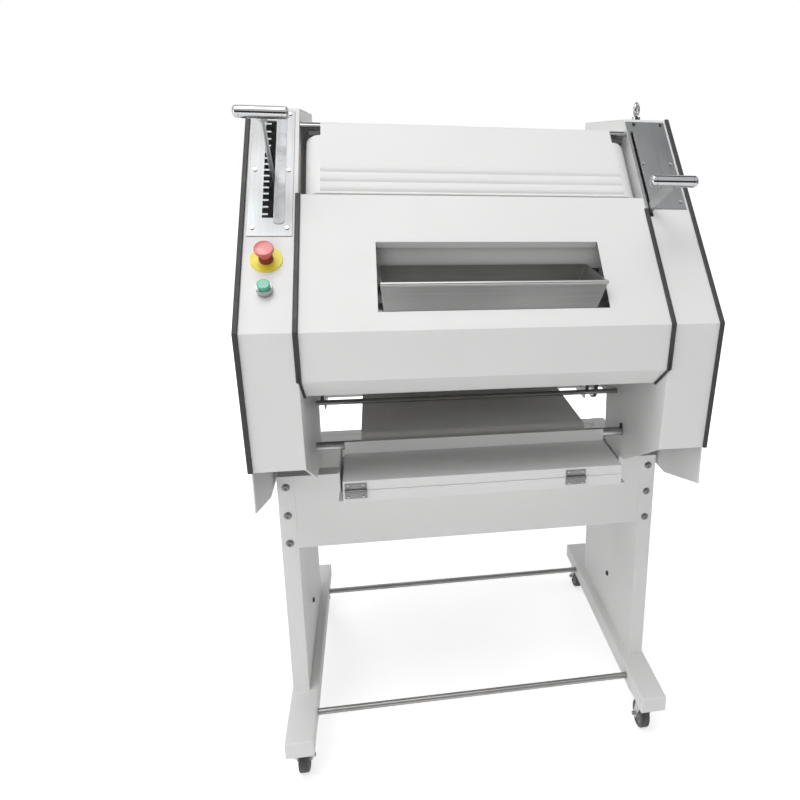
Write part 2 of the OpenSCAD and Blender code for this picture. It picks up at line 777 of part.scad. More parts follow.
module outer_panel() {
  across(panel_in, panel_out) polygon([[housing_rear, panel_low_z], cover_path[1], cover_path[2], bend_pt,
    cover_end, [-lip_front, cover_low_z], [-lip_front, lip_z], [-lip_back, panel_low_z]]);
}

module left_outer_panel() { color(white) placed() on_side(-1) outer_panel(); }
module right_outer_panel() { color(white) placed() on_side(1) outer_panel(); }

// Holes for the screws of a control plate, from height h on
module screw_holes(low_s, h, high) {
  for (x = screw_cols, s = screw_rows(low_s)) on_slope(x, s, h)
    cylinder(r = screw_r / 2 + fix_play, h = high);
}

// Slot that the right lever moves in
module lever_slot(h, high) {
  on_slope(right_lever_x - slot_w / 2, slot_low_s, h) cube([slot_w, comb_top - slot_low_s, high]);
}

module left_cover() {
  reach = cover_t + 2 * over;
  color(white) placed() difference() {
    on_side(-1) bent_sheet(cover_path, cover_t, cover_in, panel_in);
    on_slope(-comb_out - over, comb_low - over, -reach + over)
      cube([comb_out - lane_in + 2 * over, comb_top - comb_low + 2 * over, reach]);
    on_slope(-button_x, stop_s, -reach + over) cylinder(r = stop_stem_r + pass_gap, h = reach);
    on_slope(-button_x, start_s, -reach + over) cylinder(r = start_r + pass_gap, h = reach);
    on_side(-1) screw_holes(control_low_s, -reach + over, reach);
  }
}

module right_cover() {
  reach = cover_t + 2 * over;
  color(white) placed() difference() {
    bent_sheet(cover_path, cover_t, cover_in, panel_in);
    lever_slot(-reach + over, reach);
    screw_holes(right_low_s, -reach + over, reach);
    translate([ring_x, cover_path[2][0] + ring_back, top_z - reach + over])
      cylinder(r = ring_bar_r + fix_play, h = reach);
  }
}

// Back and roof between the housings
module rear_cover() {
  roof_z = lid_hinge_pt[1] + lid_barrel_r;
  roof_front = lid_hinge_pt[0] + lid_barrel_r + roof_gap;
  color(shade_white) placed() bent_sheet([[housing_rear, rear_edge_z], [housing_rear, roof_z],
    [roof_front, roof_z]], hood_t, -cover_in, cover_in);
}

module outer_trims() {
  color(black) placed() for (side = [-1, 1]) on_side(side) {
    bent_sheet(trim_path, -trim_t, panel_out - trim_w / 2, panel_out + trim_w / 2);
    bent_sheet(trim_path, trim_leg, panel_out, panel_out + trim_w / 2);
  }
}

// Trims over the joints between the hood and the side covers
module inner_trim(top_s) {
  trim_in = cover_in - trim_w / 2;
  bent_sheet([slope_pt(top_s, 0), bend_pt, hood_low_pt], -trim_t, trim_in, trim_in + trim_w);
  bent_sheet([bend_pt, hood_low_pt, hood_end_pt], -trim_t, trim_in, cover_in);
}

module inner_trims() {
  color(black) placed() {
    on_side(-1) inner_trim(hood_top_s);
    on_side(1) inner_trim(right_trim_s);
  }
}

// Bent sheet with the feed opening, a lip along the opening's upper edge and an apron behind the hopper
module hood() {
  reach = hood_t + 2 * over;
  color(white) placed() {
    difference() {
      bent_sheet(hood_path, hood_t, -cover_in, cover_in);
      on_slope(feed_x - feed_w / 2, feed_low_s, -reach + over)
        cube([feed_w, feed_top_s - feed_low_s, reach]);
    }
    on_slope(feed_x - feed_w / 2, feed_top_s, -feed_lip) cube([feed_w, hood_t, feed_lip]);
    bent_sheet([apron_low_pt, slope_pt(apron_s, -hood_t / 2)], -hood_t, -cover_in, cover_in);
  }
}

// Feed trough: its front wall stands out of the hood, its floor falls to the rollers
module hopper() {
  floor_end = front_roller_pt + [-sheet_r * 0.85, sheet_r * 0.8];
  base = [-hopper_front, hopper_base_z];
  rim = [-hopper_front, hopper_rim_z];
  flare = (hopper_rim_w - hopper_base_w) / (hopper_rim_z - hopper_base_z) / 2;
  flange_h = -hood_t - fix_play;
  low = floor_end[1] - sheet_r;
  high = hopper_rim_z + sheet_r;
  color(steel) placed() {
    difference() {
      intersection() {
        across(-cover_in, cover_in) polygon([rim, base, floor_end, rear_wall_low, rear_wall_high]);
        trapezoid(low, high, flare, 0);
      }
      intersection() {
        across(-cover_in, cover_in) polygon([[rim[0] + hopper_t, high],
          [base[0] + hopper_t, base[1] + hopper_t], [floor_end[0], floor_end[1] + hopper_t],
          [floor_end[0], low], [rear_wall_low[0] - hopper_t, low],
          [rear_wall_low[0] - hopper_t, rear_wall_low[1]], [rear_wall_high[0] - hopper_t, high]]);
        trapezoid(low - over, high + over, flare, hopper_t);
      }
    }
    bar(rim, rim_r, feed_x - hopper_rim_w / 2, feed_x + hopper_rim_w / 2);
    bent_sheet([slope_pt(feed_low_s + hopper_t, flange_h), slope_pt(feed_low_s - hopper_flange, flange_h)],
      hopper_t, feed_x - hopper_base_w / 2, feed_x + hopper_base_w / 2);
  }
}

// Prism that narrows downwards like the hopper, steeper at the left end, inset by t at its sides
module trapezoid(low, high, flare, t) {
  half_low = hopper_base_w / 2 + (low - hopper_base_z) * flare - t;
  half_high = hopper_base_w / 2 + (high - hopper_base_z) * flare - t;
  left_flare = flare - hopper_left / (hopper_rim_z - hopper_base_z);
  left_low = hopper_base_w / 2 + hopper_left + (low - hopper_base_z) * left_flare - t;
  left_high = hopper_base_w / 2 + hopper_left + (high - hopper_base_z) * left_flare - t;
  translate([feed_x, housing_rear, 0]) rotate([90, 0, 0]) linear_extrude(housing_rear + bend_front)
    polygon([[-left_low, low], [half_low, low], [half_high, high], [-left_high, high]]);
}

module guard_rod() { color(chrome) placed() bar([-guard_front, guard_z], guard_r, -plate_out, plate_out); }

// Cross-section of the top cover: flat with rounded sides
module lid_section(t, extra) {
  r = lid_round - t;
  translate([-lid_flat, -lid_depth - extra]) square([2 * lid_flat, lid_depth + extra - t]);
  translate([-lid_flat - r, -lid_depth - extra])
    square([2 * lid_flat + 2 * r, lid_depth + extra - lid_round]);
  for (x = [-lid_flat, lid_flat]) translate([x, -lid_round]) intersection() {
    circle(r);
    translate([-r, 0]) square([2 * r, r]);
  }
}

module top_cover() {
  lid_len = lid_hinge_s - lid_low_s;
  color(white) placed() difference() {
    union() {
      on_slope(0, lid_low_s, 0) {
        rotate([-90, 0, 0]) mirror([0, 1, 0]) linear_extrude(lid_len) difference() {
          lid_section(0, 0);
          lid_section(lid_t, over);
        }
        rotate([-90, 0, 0]) mirror([0, 1, 0]) linear_extrude(lid_t) lid_section(0, 0);
        for (i = [0:bead_count - 1])
          translate([-lid_flat, bead_first + i * bead_pitch, bead_rise - bead_r])
            rotate([0, 90, 0]) cylinder(r = bead_r, h = 2 * lid_flat);
      }
      bar(lid_hinge_pt, lid_barrel_r, -lid_flat, lid_flat);
    }
    for (side = [-1, 1]) on_side(side) {
      on_slope(lid_flat, lid_hinge_s - lid_notch, -lid_depth - over)
        cube([lid_round + over, lid_notch + over, lid_depth + 2 * over]);
      bar(lid_hinge_pt, lid_pin_r + run_play, lid_flat - lid_pin_seat - over, lid_flat + over);
    }
  }
}

module top_cover_bumpers() {
  bumper_w = lid_round * 0.8;
  bumper_h = lid_notch * 0.4;
  bumper_t = lid_round * 0.6;
  color(black) placed() for (side = [-1, 1]) on_side(side)
    on_slope(lid_flat, lid_hinge_s - lid_notch, -bumper_t - lid_t) cube([bumper_w, bumper_h, bumper_t]);
}

module top_cover_pins() {
  color(chrome) placed() for (side = [-1, 1]) on_side(side)
    bar(lid_hinge_pt, lid_pin_r, lid_flat - lid_pin_seat, plate_out);
}

// Left plate with a comb that holds the lever in steps, right plate with a plain slot
module control_plates() {
  reach = control_t + 2 * over;
  color(steel) placed() {
    difference() {
      on_slope(-control_out, control_low_s, fix_play) cube([control_w, control_h, control_t]);
      difference() {
        on_slope(-comb_out, comb_low, -over) cube([comb_out - lane_in, comb_top - comb_low, reach]);
        for (i = [0:tooth_count - 1])
          on_slope(-comb_out - over, tooth_s(i) - tooth_t / 2, -2 * over)
            cube([tooth_len + over, tooth_t, control_t + 4 * over]);
      }
      on_side(-1) screw_holes(control_low_s, -over, reach);
    }
    difference() {
      on_slope(cover_in, right_low_s, fix_play)
        cube([control_out - cover_in, control_top_s - right_low_s, control_t]);
      lever_slot(-over, reach);
      screw_holes(right_low_s, -over, reach);
    }
  }
}

module scale_strip() {
  corner = scale_w * 0.4;
  left = -lane_in + scale_t;
  color("#b9bcbe") placed() on_slope(left, comb_low - corner * 2, control_face) linear_extrude(scale_t) {
    translate([0, corner]) square([scale_w, scale_len - corner]);
    translate([corner, 0]) square([scale_w - 2 * corner, corner]);
    for (x = [corner, scale_w - corner]) translate([x, corner]) circle(corner);
  }
}

module plate_screws() {
  tail = control_face + cover_t * 2;
  color(chrome) placed() for (side = [-1, 1]) on_side(side)
    for (x = screw_cols, s = screw_rows(side < 0 ? control_low_s : right_low_s))
      on_slope(x, s, control_face) {
        cylinder(r = screw_r, h = screw_r / 2);
        translate([0, 0, -tail]) cylinder(r = screw_r / 2, h = tail);
      }
}

module lever_handle(x, angle) {
  end_r = handle_r * 0.4;
  on_lever(x, angle) translate([-handle_len / 2, lever_r, 0]) rotate([0, 90, 0]) rotate_extrude() {
    square([handle_r - end_r, handle_len]);
    translate([0, end_r]) square([handle_r, handle_len - 2 * end_r]);
    for (z = [end_r, handle_len - end_r]) translate([handle_r - end_r, z]) circle(end_r);
  }
}

module left_lever_arm() {
  collar_r = arm_r * 2.4;
  color("#6f7173") placed() on_lever(-left_lever_x, left_angle) difference() {
    union() {
      bar([0, 0], hub_r, -hub_w / 2, hub_w / 2);
      rotate([-90, 0, 0]) cylinder(r = arm_r, h = lever_r);
      translate([0, lever_r - handle_r - arm_r, 0]) rotate([-90, 0, 0]) cylinder(r = collar_r, h = handle_r);
    }
    bar([0, 0], stud_r + run_play, -hub_w, hub_w);
    bar([lever_r, 0], handle_r, -handle_len, handle_len);
  }
}

module left_lever_handle() { color(chrome) placed() lever_handle(-left_lever_x, left_angle); }

module right_lever_arm() {
  color("#6f7173") placed() on_lever(right_lever_x, right_angle) difference() {
    union() {
      bar([0, 0], hub_r, -arm_t / 2, arm_t / 2);
      across(-arm_t / 2, arm_t / 2) polygon([[0, -arm_low_w / 2], [lever_r, -arm_top_w / 2],
        [lever_r, arm_top_w / 2], [0, arm_low_w / 2]]);
    }
    bar([0, 0], stud_r + run_play, -arm_t, arm_t);
    bar([lever_r, 0], handle_r, -handle_len, handle_len);
  }
}

module right_lever_handle() { color(chrome) placed() lever_handle(right_lever_x, right_angle); }

module stop_disc() {
  color("#e6cf2e") placed() on_slope(-button_x, stop_s, 0) difference() {
    cylinder(r = stop_disc_r, h = stop_disc_t);
    translate([0, 0, -over]) cylinder(r = stop_stem_r + pass_gap, h = stop_disc_t + 2 * over);
  }
}

module stop_button() {
  head_h = stop_h * 0.4;
  edge = head_h * 0.45;
  tail = cover_t * 4;
  color("#cf2b26") placed() on_slope(-button_x, stop_s, 0) rotate_extrude() {
    translate([0, -tail]) square([stop_stem_r, tail + stop_h - head_h]);
    translate([0, stop_h - head_h]) square([stop_r, head_h - edge]);
    translate([0, stop_h - edge]) square([stop_r - edge, edge]);
    translate([stop_r - edge, stop_h - edge]) circle(edge);
  }
}

module start_button() {
  edge = start_r * 0.2;
  tail = cover_t * 4;
  color("#3aa877") placed() on_slope(-button_x, start_s, 0) rotate_extrude() {
    translate([0, -tail]) square([start_r, tail + start_h - edge]);
    translate([0, start_h - edge]) square([start_r - edge, edge]);
    translate([start_r - edge, start_h - edge]) circle(edge);
  }
}

module button_bezel(hole_r, high) {
  difference() {
    cylinder(r = bezel_r, h = high);
    translate([0, 0, -over]) cylinder(r = hole_r + run_play, h = high + 2 * over);
  }
}

module button_bezels() {
  color(chrome) placed() {
    on_slope(-button_x, stop_s, stop_disc_t) button_bezel(stop_stem_r, bezel_h);
    on_slope(-button_x, start_s, 0) button_bezel(start_r, start_bezel_h);
  }
}

module eye_bolt() {
  turn = 55;
  shank = cover_t * 6;
  color(chrome) placed() translate([ring_x, cover_path[2][0] + ring_back, top_z]) {
    cylinder(r = ring_collar_r, h = ring_collar_h);
    translate([0, 0, -shank]) cylinder(r = ring_bar_r, h = shank);
    translate([0, 0, ring_collar_h + ring_r + ring_bar_r / 2]) rotate([90, 0, turn])
      rotate_extrude() translate([ring_r, 0]) circle(ring_bar_r);
  }
}

// Fixed tray: front flange, floor, side cheeks, upstand and two feet on the front beam
module tray_base() {
  rear = -column_front + beam_d;
  foot_half = hinge_len / 2;
  color(white) placed() {
    translate([-leaf_half, -tray_front, tray_low_z])
      cube([2 * leaf_half, tray_t, fold_z - pass_gap - tray_low_z]);
    translate([-cheek_half, -tray_front, tray_low_z]) cube([2 * cheek_half, rear + tray_front, tray_t]);
    translate([-leaf_half, -leaf_back + pass_gap * 4, tray_low_z])
      cube([2 * leaf_half, tray_t, upstand_z - tray_low_z]);
    translate([-leaf_half, -leaf_back - tray_t * 4, leaf_z - 2 * tray_t - pass_gap])
      cube([2 * leaf_half, tray_t * 5, tray_t]);
    for (side = [-1, 1]) on_side(side) {
      translate([cheek_half - tray_t, -cheek_front, tray_low_z])
        cube([tray_t, cheek_front - column_front - beam_d / 2, leaf_z - tray_low_z]);
      translate([hinge_x - foot_half, -column_front, beam_top_z])
        cube([2 * foot_half, beam_d, tray_low_z - beam_top_z]);
    }
  }
}

module tray_leaf() {
  color(white) placed() {
    translate([-leaf_half, -tray_front, leaf_z - tray_t])
      cube([2 * leaf_half, tray_front - leaf_back, tray_t]);
    translate([-leaf_half, -tray_front, fold_z + pass_gap])
      cube([2 * leaf_half, tray_t, leaf_z - fold_z - pass_gap]);
  }
}

// Left end of the hinge on a side
function hinge_end(side) = side * hinge_x - hinge_shift - hinge_len / 2;

// Knuckles share the pin: the middle one folds, the outer two and the pin are fixed
module tray_hinges_fixed() {
  third = hinge_len * knuckle_share;
  color(steel) placed() for (side = [-1, 1]) translate([hinge_end(side), 0, 0]) {
    translate([0, -tray_front - hinge_t, fold_z - hinge_h]) cube([hinge_len, hinge_t, hinge_h - knuckle_r]);
    for (x = [0, hinge_len - third + pass_gap]) {
      bar(fold_pt, knuckle_r, x, x + third - pass_gap);
      translate([x, -tray_front - hinge_t, fold_z - knuckle_r]) cube([third - pass_gap, hinge_t, knuckle_r]);
    }
    bar(fold_pt, hinge_pin_r, 0, hinge_len);
  }
}

module tray_hinges_folding() {
  third = hinge_len * knuckle_share;
  color(steel) placed() for (side = [-1, 1]) translate([hinge_end(side), 0, 0]) difference() {
    union() {
      translate([0, -tray_front - hinge_t, fold_z + knuckle_r])
        cube([hinge_len, hinge_t, hinge_h - knuckle_r]);
      bar(fold_pt, knuckle_r, third, hinge_len - third);
      translate([third, -tray_front - hinge_t, fold_z]) cube([hinge_len - 2 * third, hinge_t, knuckle_r]);
    }
    bar(fold_pt, hinge_pin_r + run_play, -over, hinge_len + over);
  }
}

// Spur gear with straight-sided teeth and room at their flanks
module gear(turn) {
  pitch_r = gear_span / 2;
  root_r = pitch_r - gear_module;
  tip_r = pitch_r + gear_module * 0.75;
  step = 360 / gear_teeth;
  root_in = root_r * 0.98;
  root_half = gear_module * 0.85;
  tip_half = gear_module * 0.32;
  rotate(turn) {
    circle(root_r);
    for (i = [0:gear_teeth - 1]) rotate(i * step)
      polygon([[root_in, -root_half], [tip_r, -tip_half], [tip_r, tip_half], [root_in, root_half]]);
  }
}

module front_sheeting_roller() {
  d = rear_roller_pt - front_roller_pt;
  color(steel) placed() {
    bar(front_roller_pt, sheet_r, -sheet_len / 2, sheet_len / 2);
    bar(front_roller_pt, shaft_r, -gear_in - gear_w, bearing_out);
    across(-gear_in - gear_w, -gear_in) translate(front_roller_pt) gear(atan2(d[1], d[0]));
  }
}

module rear_sheeting_roller() {
  d = front_roller_pt - rear_roller_pt;
  color(steel) placed() {
    bar(rear_roller_pt, sheet_r, -sheet_len / 2, sheet_len / 2);
    bar(rear_roller_pt, shaft_r, -gear_in - gear_w, pulley_in + pulley_w);
    across(-gear_in - gear_w, -gear_in) translate(rear_roller_pt) gear(atan2(d[1], d[0]) + 180 / gear_teeth);
    bar(rear_roller_pt, pulley_r, pulley_in, pulley_in + pulley_w);
  }
}

module front_belt_roller() {
  color(steel) placed() {
    bar(belt_front_pt, belt_roller_r, -belt_w / 2, belt_w / 2);
    bar(belt_front_pt, belt_shaft_r, -bearing_out, bearing_out);
  }
}

module rear_belt_roller() {
  color(steel) placed() {
    bar(belt_rear_pt, belt_roller_r, -belt_w / 2, belt_w / 2);
    bar(belt_rear_pt, belt_shaft_r, -bearing_out, pulley_next + pulley_w);
    bar(belt_rear_pt, pulley_r, pulley_next, pulley_next + pulley_w);
  }
}

module felt_belt() {
  color("#8c857a") placed()
    loop(belt_front_pt, belt_rear_pt, belt_roller_r + pass_gap, belt_t, -belt_w / 2, belt_w / 2);
}

module roller_bearings() {
  color("#4a4d50") placed() for (side = [-1, 1], i = [0:len(shaft_pts) - 1]) on_side(side) difference() {
    bar(shaft_pts[i], bearing_r, plate_out, bearing_out);
    bar(shaft_pts[i], shaft_rs[i] + run_play, plate_out - over, bearing_out + over);
  }
}

// Board that rolls the dough against the belt, hung on two pins in slots of the side plates
module pressing_board() {
  color("#d8d6d0") placed() {
    translate([-board_half, -board_front, board_z])
      cube([2 * board_half, board_front + board_rear, board_t]);
    for (y = [-board_pin_front, board_pin_rear])
      bar([y, board_pin_z], board_pin_r, -plate_out - wide_gap, plate_out + wide_gap);
  }
}

// Motor bolted by its flange to the right side plate, with a terminal box on top
module drive_motor() {
  box_w = motor_r * 1.1;
  color("#5d6468") placed() difference() {
    union() {
      bar(motor_pt, motor_r, cover_in - motor_len, cover_in);
      bar(motor_pt, motor_r * 1.2, cover_in - flange_t, cover_in);
      translate([cover_in - motor_len * 0.6, motor_y - box_w / 2, motor_z])
        cube([box_w * 1.3, box_w, motor_r * 1.4]);
    }
    bar(motor_pt, belt_shaft_r + run_play, cover_in - motor_len * 0.2, cover_in + over);
  }
}

module motor_pulley() {
  color(steel) placed() {
    bar(motor_pt, belt_shaft_r, cover_in - motor_len * 0.2 + pass_gap, pulley_next + pulley_w);
    bar(motor_pt, pulley_r, pulley_in, pulley_in + pulley_w);
    bar(motor_pt, pulley_r, pulley_next, pulley_next + pulley_w);
  }
}

module drive_belts() {
  color(black) placed() {
    loop(motor_pt, rear_roller_pt, pulley_r + pass_gap, drive_t, pulley_in, pulley_in + pulley_w);
    loop(motor_pt, belt_rear_pt, pulley_r + pass_gap, drive_t, pulley_next, pulley_next + pulley_w);
  }
}

left_foot();
right_foot();
left_column();
right_column();
front_beam();
rear_beam();
cross_rods();
column_bolts();
caster_plates();
left_front_fork();
right_front_fork();
left_rear_fork();
right_rear_fork();
left_front_wheel();
right_front_wheel();
left_rear_wheel();
right_rear_wheel();
left_brake_pedal();
right_brake_pedal();
left_side_plate();
right_side_plate();
left_outer_panel();
right_outer_panel();
left_cover();
right_cover();
rear_cover();
outer_trims();
inner_trims();
hood();
hopper();
guard_rod();
top_cover();
top_cover_bumpers();
top_cover_pins();
control_plates();
scale_strip();
plate_screws();
left_lever_arm();
left_lever_handle();
right_lever_arm();
right_lever_handle();
stop_disc();
stop_button();
start_button();
button_bezels();
eye_bolt();
tray_base();
tray_leaf();
tray_hinges_fixed();
tray_hinges_folding();
front_sheeting_roller();
rear_sheeting_roller();
front_belt_roller();
rear_belt_roller();
felt_belt();
roller_bearings();
pressing_board();
drive_motor();
motor_pulley();
drive_belts();
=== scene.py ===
import json
import math

import bmesh
import bpy
import numpy as np
from bpy.props import FloatProperty, FloatVectorProperty, IntProperty, PointerProperty
from mathutils import Matrix, Vector


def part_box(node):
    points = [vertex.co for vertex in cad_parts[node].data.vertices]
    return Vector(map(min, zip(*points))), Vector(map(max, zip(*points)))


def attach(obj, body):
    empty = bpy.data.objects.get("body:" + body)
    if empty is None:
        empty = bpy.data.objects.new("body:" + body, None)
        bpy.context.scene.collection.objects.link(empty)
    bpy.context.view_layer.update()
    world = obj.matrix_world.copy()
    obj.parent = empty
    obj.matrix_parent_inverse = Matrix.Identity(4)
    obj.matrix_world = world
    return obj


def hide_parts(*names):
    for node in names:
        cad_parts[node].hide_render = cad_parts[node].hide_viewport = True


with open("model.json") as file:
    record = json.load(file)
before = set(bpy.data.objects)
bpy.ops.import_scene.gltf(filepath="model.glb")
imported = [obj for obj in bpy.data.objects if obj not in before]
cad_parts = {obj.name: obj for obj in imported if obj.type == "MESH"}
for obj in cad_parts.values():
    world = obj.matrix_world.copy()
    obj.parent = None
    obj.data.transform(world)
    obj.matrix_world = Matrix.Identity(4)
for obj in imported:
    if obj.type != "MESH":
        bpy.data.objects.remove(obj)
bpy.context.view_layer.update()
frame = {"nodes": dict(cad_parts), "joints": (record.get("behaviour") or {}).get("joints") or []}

bl_info = {
    "name": "Baguette moulder",
    "version": (1, 0, 0),
    "blender": (4, 5, 0),
    "location": "3D View > Sidebar > Moulder",
    "description": "Finishes and modelled details of a baguette moulder",
    "category": "Object",
}

NODES = frame["nodes"]
JOINTS = {joint["name"]: joint for joint in frame["joints"]}
MM = 0.001
UP = np.array([0.0, 0.0, 1.0])
RIGHT = np.array([1.0, 0.0, 0.0])
FORWARD = np.array([0.0, -1.0, 0.0])
# Out of the sloping front, and up along it
SLOPE_OUT = -np.array(JOINTS["stop_button_push"]["axis"], float)
SLOPE_UP = np.cross(SLOPE_OUT, RIGHT)
CASTERS = ("left_front", "right_front", "left_rear", "right_rear")
# Points of a seam, and of a solid's faces, that lie closer than this are one
SEAM_GAP = 0.001 * MM
WELD_GAP = 0.01 * MM
# Edges that turn by more degrees are rounded
EDGE_TURN = 35.0


def colour_property(name, description, default):
    return FloatVectorProperty(name=name, description=description, default=default, size=3, subtype="COLOR",
                               min=0.0, max=1.0)


def length_property(name, description, default):
    return FloatProperty(name=name, description=description, default=default, unit="LENGTH", min=0.0)


def number_property(name, description, default, unit="NONE"):
    return FloatProperty(name=name, description=description, default=default, unit=unit)


class MoulderFinishes(bpy.types.PropertyGroup):
    """Colours of the finishes"""

    paint: colour_property("Paint", "White powder coat of the sheet metal", (0.85, 0.85, 0.845))
    steel: colour_property("Stainless steel", "Brushed hopper and rollers", (0.43, 0.43, 0.425))
    plate: colour_property("Control plates", "Brushed steel of the control plates", (0.27, 0.275, 0.28))
    chrome: colour_property("Chrome", "Polished handles, pins and screws", (0.42, 0.425, 0.435))
    rod: colour_property("Rods", "Drawn steel of the cross rods and the guard rod", (0.34, 0.336, 0.33))
    zinc: colour_property("Zinc", "Plated arms, hinges and caster forks", (0.46, 0.47, 0.47))
    hinge: colour_property("Hinges", "Bare steel of the tray hinges and column bolts", (0.23, 0.23, 0.23))
    trim: colour_property("Edge trim", "Black rubber edging", (0.022, 0.022, 0.023))
    tyre: colour_property("Tyres", "Dark grey caster tyres", (0.055, 0.056, 0.058))
    hub: colour_property("Wheel hubs", "Grey moulded wheel hubs", (0.30, 0.31, 0.32))
    felt: colour_property("Felt", "Wool felt of the belt", (0.82, 0.81, 0.79))
    rubber: colour_property("Drive belts", "Black toothed rubber belts", (0.02, 0.02, 0.021))
    red: colour_property("Stop button", "Red mushroom head", (0.66, 0.085, 0.08))
    yellow: colour_property("Stop disc", "Yellow ground of the stop button", (0.87, 0.77, 0.055))
    green: colour_property("Start button", "Green push button", (0.06, 0.42, 0.27))
    board: colour_property("Pressing board", "White food-grade board", (0.72, 0.71, 0.68))
    iron: colour_property("Bearings", "Painted cast bearing housings", (0.075, 0.08, 0.085))
    enamel: colour_property("Motor", "Grey machine enamel", (0.13, 0.15, 0.165))
    scale: colour_property("Scale", "Anodised scale strip", (0.31, 0.32, 0.33))
    ink: colour_property("Scale ticks", "Dark print on the scale", (0.10, 0.10, 0.11))
    pedal: colour_property("Brake pedals", "Red enamel of the pedals", (0.42, 0.03, 0.03))
    dark_bolt: colour_property("Dark bolts", "Blackened bolts", (0.06, 0.06, 0.062))


class MoulderSizes(bpy.types.PropertyGroup):
    """Sizes of the modelled details"""

    sheet_round: length_property("Sheet edges", "Rounding of cut and bent sheet", 0.9 * MM)
    foot_round: length_property("Foot edges", "Rounding of the feet", 4.0 * MM)
    trim_round: length_property("Trim edges", "Rounding of the rubber trims", 2.0 * MM)
    metal_round: length_property("Metal edges", "Rounding of arms, hinges and forks", 0.6 * MM)
    felt_thickness: length_property("Felt", "Thickness of the felt belt", 3.0 * MM)
    felt_nap: length_property("Felt nap", "Unevenness of the felt", 0.12 * MM)
    seam_width: length_property("Felt seam", "Width of the sewn joint of the felt belt", 5.0 * MM)
    drive_width: length_property("Drive belts", "Width of a drive belt", 9.0 * MM)
    drive_thickness: length_property("Belt thickness", "Thickness of a drive belt over its teeth", 5.0 * MM)
    tooth_pitch: length_property("Belt teeth", "Spacing of the teeth of a drive belt", 8.0 * MM)
    fin_count: IntProperty(name="Motor fins", description="Cooling fins round the motor", default=36, min=6)
    fin_height: length_property("Fin height", "Height of a cooling fin", 8.0 * MM)
    fin_width: length_property("Fin width", "Thickness of a cooling fin", 2.2 * MM)
    motor_radius: length_property("Motor", "Radius of the motor body", 62.0 * MM)
    stop_radius: length_property("Stop button", "Radius of the mushroom head", 18.0 * MM)
    stop_neck: length_property("Stop neck", "Radius of the neck below the head", 10.0 * MM)
    start_radius: length_property("Start button", "Radius of the start button", 12.0 * MM)
    bezel_radius: length_property("Bezels", "Radius of the button bezels", 15.0 * MM)
    bezel_height: length_property("Start bezel", "Height of the bezel of the start button", 16.0 * MM)
    collar_height: length_property("Stop collar", "Height of the collar under the stop button", 9.0 * MM)
    disc_thickness: length_property("Stop disc", "Thickness of the yellow disc", 2.5 * MM)
    button_tail: length_property("Button tails", "Length of the buttons below the slope", 10.0 * MM)
    hinge_length: length_property("Tray hinges", "Length of a tray hinge", 45.0 * MM)
    hinge_plate: length_property("Hinge plates", "Thickness of a hinge plate", 2.0 * MM)
    hinge_screw: length_property("Hinge screws", "Radius of a hinge screw", 2.6 * MM)
    column_bolt: length_property("Column bolts", "Radius of the bolts on the columns", 7.0 * MM)
    bracket_bolt: length_property("Bracket bolts", "Radius of the bolts on the brackets", 6.0 * MM)
    cover_screw: length_property("Cover screws", "Radius of the screws of rear cover and panels", 4.5 * MM)
    strip_thickness: length_property("Scale strip", "Thickness of the scale strip", 1.0 * MM)
    tick_pitch: length_property("Scale ticks", "Spacing of the ticks of the scale", 5.0 * MM)
    tick_width: length_property("Tick width", "Width of a tick", 0.5 * MM)
    tick_inset: length_property("Tick inset", "From the edge of the strip to the ticks", 1.5 * MM)
    tick_sink: length_property("Tick sink", "Depth of the ticks in the strip", 0.1 * MM)
    tick_rise: length_property("Tick rise", "Height of the ticks over the strip", 0.12 * MM)
    louvre_width: length_property("Louvres", "Width of a louvre of the rear cover", 130.0 * MM)
    louvre_height: length_property("Louvre height", "Height of a louvre", 13.0 * MM)
    louvre_depth: length_property("Louvre depth", "How far a louvre stands out", 7.0 * MM)
    louvre_pitch: length_property("Louvre pitch", "Spacing of the louvres", 26.0 * MM)
    louvre_sink: length_property("Louvre sink", "Depth of a louvre's edge in the sheet", 0.4 * MM)
    plate_bolt: length_property("Caster bolts", "Radius of the bolts of the caster plates", 5.0 * MM)
    plate_thickness: length_property("Caster plates", "Thickness of a caster plate", 5.0 * MM)
    rear_screw_inset: length_property("Rear screws", "From the rear cover's edge to its screws", 15.0 * MM)
    bezel_play: length_property("Bezel play", "Gap between a bezel and its button", 0.06 * MM)
    fin_sink: length_property("Fin sink", "Depth of a fin's foot in the motor", 1.0 * MM)
    cowl_groove: length_property("Cowl grooves", "Depth of the grooves of the fan cowl", 2.0 * MM)
    cowl_edge: length_property("Cowl edge", "Chamfer of the fan cowl", 3.0 * MM)
    cowl_lip: length_property("Cowl lip", "Step between chamfer and face of the cowl", 0.5 * MM)
    tread_groove: length_property("Tread grooves", "Depth of the grooves of a tyre", 0.8 * MM)
    tread_lip: length_property("Tyre lip", "Chamfer of a tyre at its hub", 1.5 * MM)


